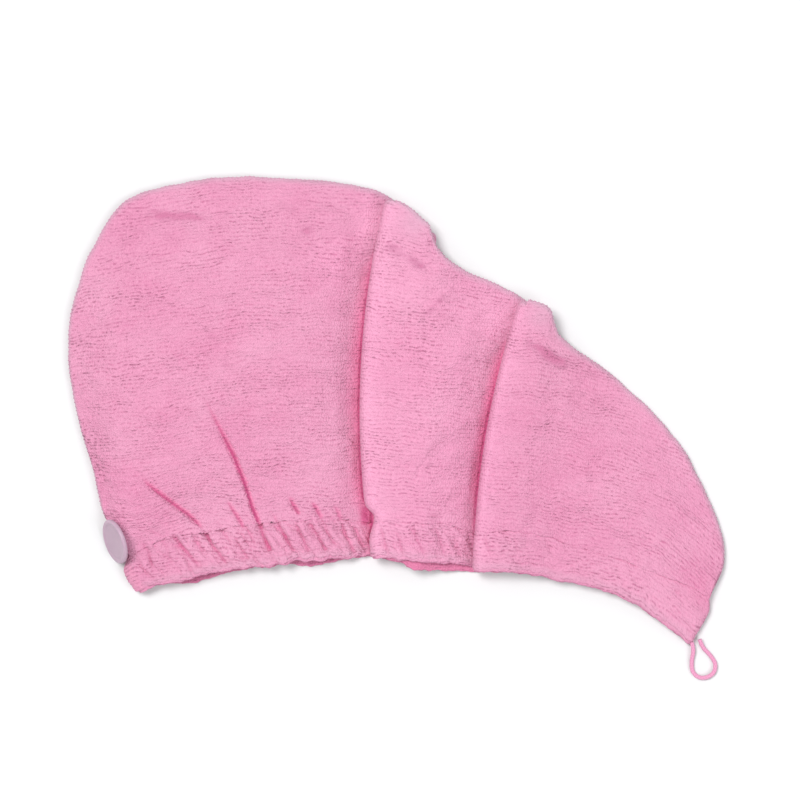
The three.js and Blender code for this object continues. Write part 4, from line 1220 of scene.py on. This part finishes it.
# ---------------------------------------------------------------- stitches
def tube_stitches(name, centres, ups, tangents, length, radius, material, dip):
    """One mesh of short thread arcs: each lies on the cloth and dips in at both ends."""
    sides, rings = 6, 5
    t = np.linspace(-1, 1, rings)
    verts, faces = [], []
    for n, (c, up, tan) in enumerate(zip(centres, ups, tangents)):
        across = np.cross(up, tan)
        base = n * (sides * rings + 2)
        mids = [c + tan * (length / 2 * k) + up * (-dip * k * k) for k in t]
        for q, k in zip(mids, t):
            rr = radius * (1 - 0.35 * k * k)
            for s in range(sides):
                a = 2 * math.pi * s / sides
                verts.append(q + rr * (math.cos(a) * across + math.sin(a) * up))
        verts.append(mids[0] - tan * radius * 0.4)
        verts.append(mids[-1] + tan * radius * 0.4)
        for g in range(rings - 1):
            for s in range(sides):
                s2 = (s + 1) % sides
                a, b = base + g * sides + s, base + g * sides + s2
                faces.append((a, b, b + sides))
                faces.append((a, b + sides, a + sides))
        lo, hi = base + sides * rings, base + sides * rings + 1
        for s in range(sides):
            s2 = (s + 1) % sides
            faces.append((lo, base + s2, base + s))
            faces.append((hi, base + (rings - 1) * sides + s, base + (rings - 1) * sides + s2))
    verts = np.array(verts)
    faces = orient_outwards(verts, [np.array(faces, np.int32)])
    return make_object(name, verts, faces, material)


def along_line(points, normals, pitch):
    """Evenly spaced places on a line of points, with their normals and directions."""
    d = np.linalg.norm(np.diff(points, axis=0), axis=-1)
    s = np.concatenate([[0], np.cumsum(d)])
    at = np.arange(pitch / 2, s[-1], pitch)
    p = np.stack([np.interp(at, s, points[:, k]) for k in range(3)], -1)
    n = np.stack([np.interp(at, s, normals[:, k]) for k in range(3)], -1)
    ahead = np.stack([np.interp(at + 0.6, s, points[:, k]) for k in range(3)], -1)
    back = np.stack([np.interp(at - 0.6, s, points[:, k]) for k in range(3)], -1)
    t = ahead - back
    t /= np.maximum(np.linalg.norm(t, axis=-1, keepdims=True), 1e-9)
    n -= t * np.einsum("ij,ij->i", n, t)[:, None]
    n /= np.maximum(np.linalg.norm(n, axis=-1, keepdims=True), 1e-9)
    return p, n, t


def hem_stitches():
    rows = band_rows
    p, normal = rows["p"], rows["normal"]
    target = rows["c"]["band"][:, 0] - 2.0
    j = np.argmin(np.abs(rows["r"][:, : rows["n_out"]] - target[:, None]), 1)
    i = np.arange(len(p))
    line, up = p[i, j], normal[i, j]
    keep = ~((rows["c"]["panel"][:, 0] == 3) & (rows["c"]["turning"][:, 0] == 0))
    at, n, t = [], [], []
    # runs of neighbouring rings that show
    start = None
    for k in range(len(p) + 1):
        on = k < len(p) and keep[k]
        if on and start is None:
            start = k
        if not on and start is not None:
            if k - start > 6:
                # a smoothed line, so that the stitches run straight over the ribs
                seg = line[start:k].copy()
                for _ in range(6):
                    seg[1:-1] = (seg[:-2] + 2 * seg[1:-1] + seg[2:]) / 4
                a, b, c = along_line(seg, up[start:k], 3.2)
                at.append(a), n.append(b), t.append(c)
            start = None
    at, n, t = np.concatenate(at), np.concatenate(n), np.concatenate(t)
    return tube_stitches("hem_stitching", at + n * 0.26, n, t, 2.5, 0.28, thread, 0.5)


def crown_stitches():
    """Short slanted stitches that close the crown seam."""
    c = columns(1.2, 1.0, 6, 2)
    length = ray(c)[0]
    p0 = place(c, length, np.zeros_like(length))[:, 0]
    dx, dy = ray(c)[1], ray(c)[2]
    outward = np.concatenate([dx, dy, np.zeros_like(dx)], -1)
    flat = c["panel"][:, 0] != 3
    at, up, tan = [], [], []
    start = None
    for k in range(len(p0) + 1):
        on = k < len(p0) and flat[k]
        if on and start is None:
            start = k
        if not on and start is not None:
            a, b, t = along_line(p0[start:k], outward[start:k], 2.7)
            at.append(a), up.append(b), tan.append(t)
            start = None
    at, up, tan = np.concatenate(at), np.concatenate(up), np.concatenate(tan)
    z = np.zeros_like(tan)
    z[:, 2] = 1.0
    slant = z * 0.9 + tan * 0.43
    slant /= np.linalg.norm(slant, axis=-1, keepdims=True)
    return tube_stitches("crown_seam_stitching", at + up * 0.18, up, slant, 2.6, 0.26, thread, 0.75)


hem_thread = hem_stitches()
crown_thread = crown_stitches()


# ---------------------------------------------------------------- the button
def button_object():
    sides = 96
    r, t = BUTTON_R, BUTTON_T / 2
    profile = [(0.0, t * 0.52)]
    for k in range(1, 15):
        q = k / 14 * (r - 3.4)
        profile.append((q, t * (0.52 + 0.10 * (q / (r - 3.4)) ** 2)))
    profile += [(r - 2.9, t * 0.74), (r - 2.4, t * 0.93), (r - 1.8, t)]
    for k in range(1, 9):
        a = math.pi / 2 * k / 8
        profile.append((r - 1.35 + 1.35 * math.sin(a), t - 1.35 + 1.35 * math.cos(a)))
    for k in range(1, 9):
        a = math.pi / 2 * k / 8
        profile.append((r - 1.35 + 1.35 * math.cos(a), -t + 1.35 - 1.35 * math.sin(a)))
    profile += [(6.0, -t), (2.6, -t), (2.2, -t - 0.25), (1.9, -t - 0.9), (1.9, -t - 1.25), (1.6, -t - 1.4), (0.0, -t - 1.4)]
    axis = Vector(BUTTON_FACES).normalized()
    turn = Vector((0, 0, 1)).rotation_difference(axis).to_matrix().to_4x4()
    m = Matrix.Translation(Vector(BUTTON_AT)) @ turn
    verts, faces = [], []
    rings = []
    for q, z in profile:
        if q == 0:
            rings.append([len(verts)])
            verts.append((0, 0, z))
        else:
            rings.append(list(range(len(verts), len(verts) + sides)))
            verts += [(q * math.cos(2 * math.pi * s / sides), q * math.sin(2 * math.pi * s / sides), z) for s in range(sides)]
    tri = []
    for a, b in zip(rings[:-1], rings[1:]):
        for s in range(sides):
            s2 = (s + 1) % sides
            if len(a) == 1:
                tri.append((a[0], b[s], b[s2]))
            elif len(b) == 1:
                tri.append((a[s], b[0], a[s2]))
            else:
                tri.append((a[s], b[s], b[s2]))
                tri.append((a[s], b[s2], a[s2]))
    verts = np.array([tuple(m @ Vector(v)) for v in verts])
    faces = orient_outwards(verts, [np.array(tri, np.int32)])
    return make_object("button_disc", verts, faces, button_material())


button = button_object()


# ---------------------------------------------------------------- the loop
def loop_object():
    hx, hy = LOOP_HEADS
    norm = math.hypot(hx, hy)
    dx, dy = hx / norm, hy / norm
    low = LOOP_CORD / 2 + 0.2
    route = [(0, 0.5 * LOOP_ROOT), (0.22, 0.62 * LOOP_ROOT), (0.5, 0.42 * LOOP_WIDTH), (0.74, 0.5 * LOOP_WIDTH), (0.93, 0.34 * LOOP_WIDTH), (1, 0)]
    both = route + [(a, -b) for a, b in route[:-1][::-1]]
    pts = []
    for a, b in both:
        s = a / 0.6
        s = min(max(s, 0), 1)
        s = s * s * (3 - 2 * s)
        pts.append((LOOP_AT[0] + dx * a * LOOP_LENGTH - dy * b, LOOP_AT[1] + dy * a * LOOP_LENGTH + dx * b, low + (LOOP_AT[2] - low) * (1 - s)))
    pts = np.array(pts)
    # centripetal Catmull-Rom through the points
    ext = np.vstack([2 * pts[0] - pts[1], pts, 2 * pts[-1] - pts[-2]])
    path = []
    for i in range(len(pts) - 1):
        p0, p1, p2, p3 = ext[i : i + 4]
        t0 = 0.0
        t1 = t0 + np.linalg.norm(p1 - p0) ** 0.5
        t2 = t1 + np.linalg.norm(p2 - p1) ** 0.5
        t3 = t2 + np.linalg.norm(p3 - p2) ** 0.5
        for t in np.linspace(t1, t2, 25)[: 25 if i == len(pts) - 2 else 24]:
            a1 = (t1 - t) / (t1 - t0) * p0 + (t - t0) / (t1 - t0) * p1
            a2 = (t2 - t) / (t2 - t1) * p1 + (t - t1) / (t2 - t1) * p2
            a3 = (t3 - t) / (t3 - t2) * p2 + (t - t2) / (t3 - t2) * p3
            b1 = (t2 - t) / (t2 - t0) * a1 + (t - t0) / (t2 - t0) * a2
            b2 = (t3 - t) / (t3 - t1) * a2 + (t - t1) / (t3 - t1) * a3
            path.append((t2 - t) / (t2 - t1) * b1 + (t - t1) / (t2 - t1) * b2)
    path = np.array(path)
    s = np.concatenate([[0], np.cumsum(np.linalg.norm(np.diff(path, axis=0), axis=-1))])
    n = int(s[-1] / 0.28)
    at = np.linspace(0, s[-1], n)
    path = np.stack([np.interp(at, s, path[:, k]) for k in range(3)], -1)
    for _ in range(4):
        path[1:-1] = (path[:-2] + 2 * path[1:-1] + path[2:]) / 4
    tan = np.gradient(path, axis=0)
    tan /= np.linalg.norm(tan, axis=-1, keepdims=True)
    up = np.array([0, 0, 1.0])
    side = np.cross(tan, up)
    side /= np.linalg.norm(side, axis=-1, keepdims=True)
    up2 = np.cross(side, tan)
    sides = 36
    a = 2 * math.pi * np.arange(sides) / sides
    strand = 6
    # a round braid: two sets of strands that pass over and under each other
    one = np.cos(strand * a[None, :] + at[:, None] * 2 * math.pi / 3.4 * 1.0)
    two = np.cos(strand * a[None, :] - at[:, None] * 2 * math.pi / 3.4 * 1.0)
    over = np.maximum(one, two)
    radius = LOOP_CORD / 2 + 0.14 * (over - 0.55)
    ring = path[:, None, :] + radius[..., None] * (np.cos(a)[None, :, None] * side[:, None, :] + np.sin(a)[None, :, None] * up2[:, None, :])
    ring[..., 2] = np.maximum(ring[..., 2], 0.05)
    verts = ring.reshape(-1, 3)
    i, j = np.meshgrid(np.arange(n - 1), np.arange(sides), indexing="ij")
    i, j = i.ravel(), j.ravel()
    j2 = (j + 1) % sides
    quads = np.stack([i * sides + j, i * sides + j2, (i + 1) * sides + j2, (i + 1) * sides + j], -1)
    verts = np.vstack([verts, path[0], path[-1]])
    js = np.arange(sides)
    cap0 = np.stack([np.full(sides, n * sides), (js + 1) % sides, js], -1)
    cap1 = np.stack([np.full(sides, n * sides + 1), (n - 1) * sides + js, (n - 1) * sides + (js + 1) % sides], -1)
    faces = orient_outwards(verts, [quads, cap0, cap1])
    # where the strands stand high, for painted highlight on their crowns and painted shade in the gaps between them
    braid = np.concatenate([clamp01(0.5 + 0.5 * over).ravel(), [0.5, 0.5]])
    return make_object("loop_braid", verts, faces, elastic_material(), {"braid": braid}), path


loop, loop_path = loop_object()

# ---------------------------------------------------------------- each piece goes under the root body, in place of its parts from model.glb
for ob, nodes, slot in (
    (upper, ("upper_panel",), "terry"),
    (under, ("under_panel",), "terry_under"),
    (band, ("hem_casing",), "casing"),
    (button, ("button",), "button"),
    (loop, ("tail_loop",), "elastic"),
    (hem_thread, (), "casing"),
    (crown_thread, (), "terry"),
):
    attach(ob, "root")
    if nodes:
        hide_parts(*nodes)

# ---------------------------------------------------------------- stage, light and camera
floor_mesh = bpy.data.meshes.new("floor")
floor_mesh.from_pydata([(-4, -4, -0.0004), (4, -4, -0.0004), (4, 4, -0.0004), (-4, 4, -0.0004)], [], [(0, 1, 2, 3)])
floor = bpy.data.objects.new("floor", floor_mesh)
bpy.context.scene.collection.objects.link(floor)
fm = bpy.data.materials.new("pale_floor")
fm.use_nodes = True
ft = fm.node_tree
fp = ft.nodes["Principled BSDF"]
fp.inputs["Roughness"].default_value = 0.9
fp.inputs["Specular IOR Level"].default_value = 0.1
fn = node(ft, "ShaderNodeTexNoise", Scale=3.0, Detail=2.0)
fc = mix_colour(ft, fn.outputs["Fac"], (0.672, 0.676, 0.68, 1), (0.684, 0.688, 0.692, 1))
ft.links.new(fc, fp.inputs["Base Color"])
floor_mesh.materials.append(fm)

world = bpy.data.worlds.new("studio")
bpy.context.scene.world = world
world.use_nodes = True
wb = world.node_tree.nodes["Background"]
wb.inputs["Color"].default_value = (1.0, 1.0, 1.0, 1.0)
wb.inputs["Strength"].default_value = 0.56


def area_light(name, at, towards, size, power, colour=(1, 1, 1)):
    data = bpy.data.lights.new(name, "AREA")
    data.shape = "RECTANGLE"
    data.size, data.size_y = size
    data.energy = power
    data.color = colour
    ob = bpy.data.objects.new(name, data)
    bpy.context.scene.collection.objects.link(ob)
    ob.location = at
    ob.rotation_mode = "QUATERNION"
    ob.rotation_quaternion = (Vector(towards) - Vector(at)).to_track_quat("-Z", "Y")
    return ob


area_light("key", (-1.8, 1.5, 5.2), (0, 0, 0), (2.0, 2.0), 262.0, (1.0, 0.995, 0.99))
area_light("fill", (2.2, -1.4, 3.6), (0, 0, 0), (2.4, 2.4), 72.0, (0.97, 0.985, 1.0))

LENS = 135.0
CENTRE = (0.0032, 0.0182)
WIDTH = 800 * PX * MM
LEVEL = 0.008
cam_data = bpy.data.cameras.new("camera")
cam_data.lens = LENS
cam_data.sensor_width = 36.0
cam = bpy.data.objects.new("camera", cam_data)
bpy.context.scene.collection.objects.link(cam)
cam.location = (CENTRE[0], CENTRE[1], LEVEL + WIDTH * LENS / 36.0)
cam.rotation_euler = (0.0, 0.0, 0.0)
cam_data.clip_start, cam_data.clip_end = 0.05, 50.0
bpy.context.scene.camera = cam
bpy.context.scene.view_settings.view_transform = "Standard"
bpy.context.scene.view_settings.look = "None"
bpy.context.scene.view_settings.exposure = 0.0
bpy.context.scene.view_settings.gamma = 1.0

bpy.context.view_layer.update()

for ob in (upper, under, band, button, loop, hem_thread, crown_thread):
    print(ob.name, len(ob.data.vertices), sum(len(p.vertices) - 2 for p in ob.data.polygons))
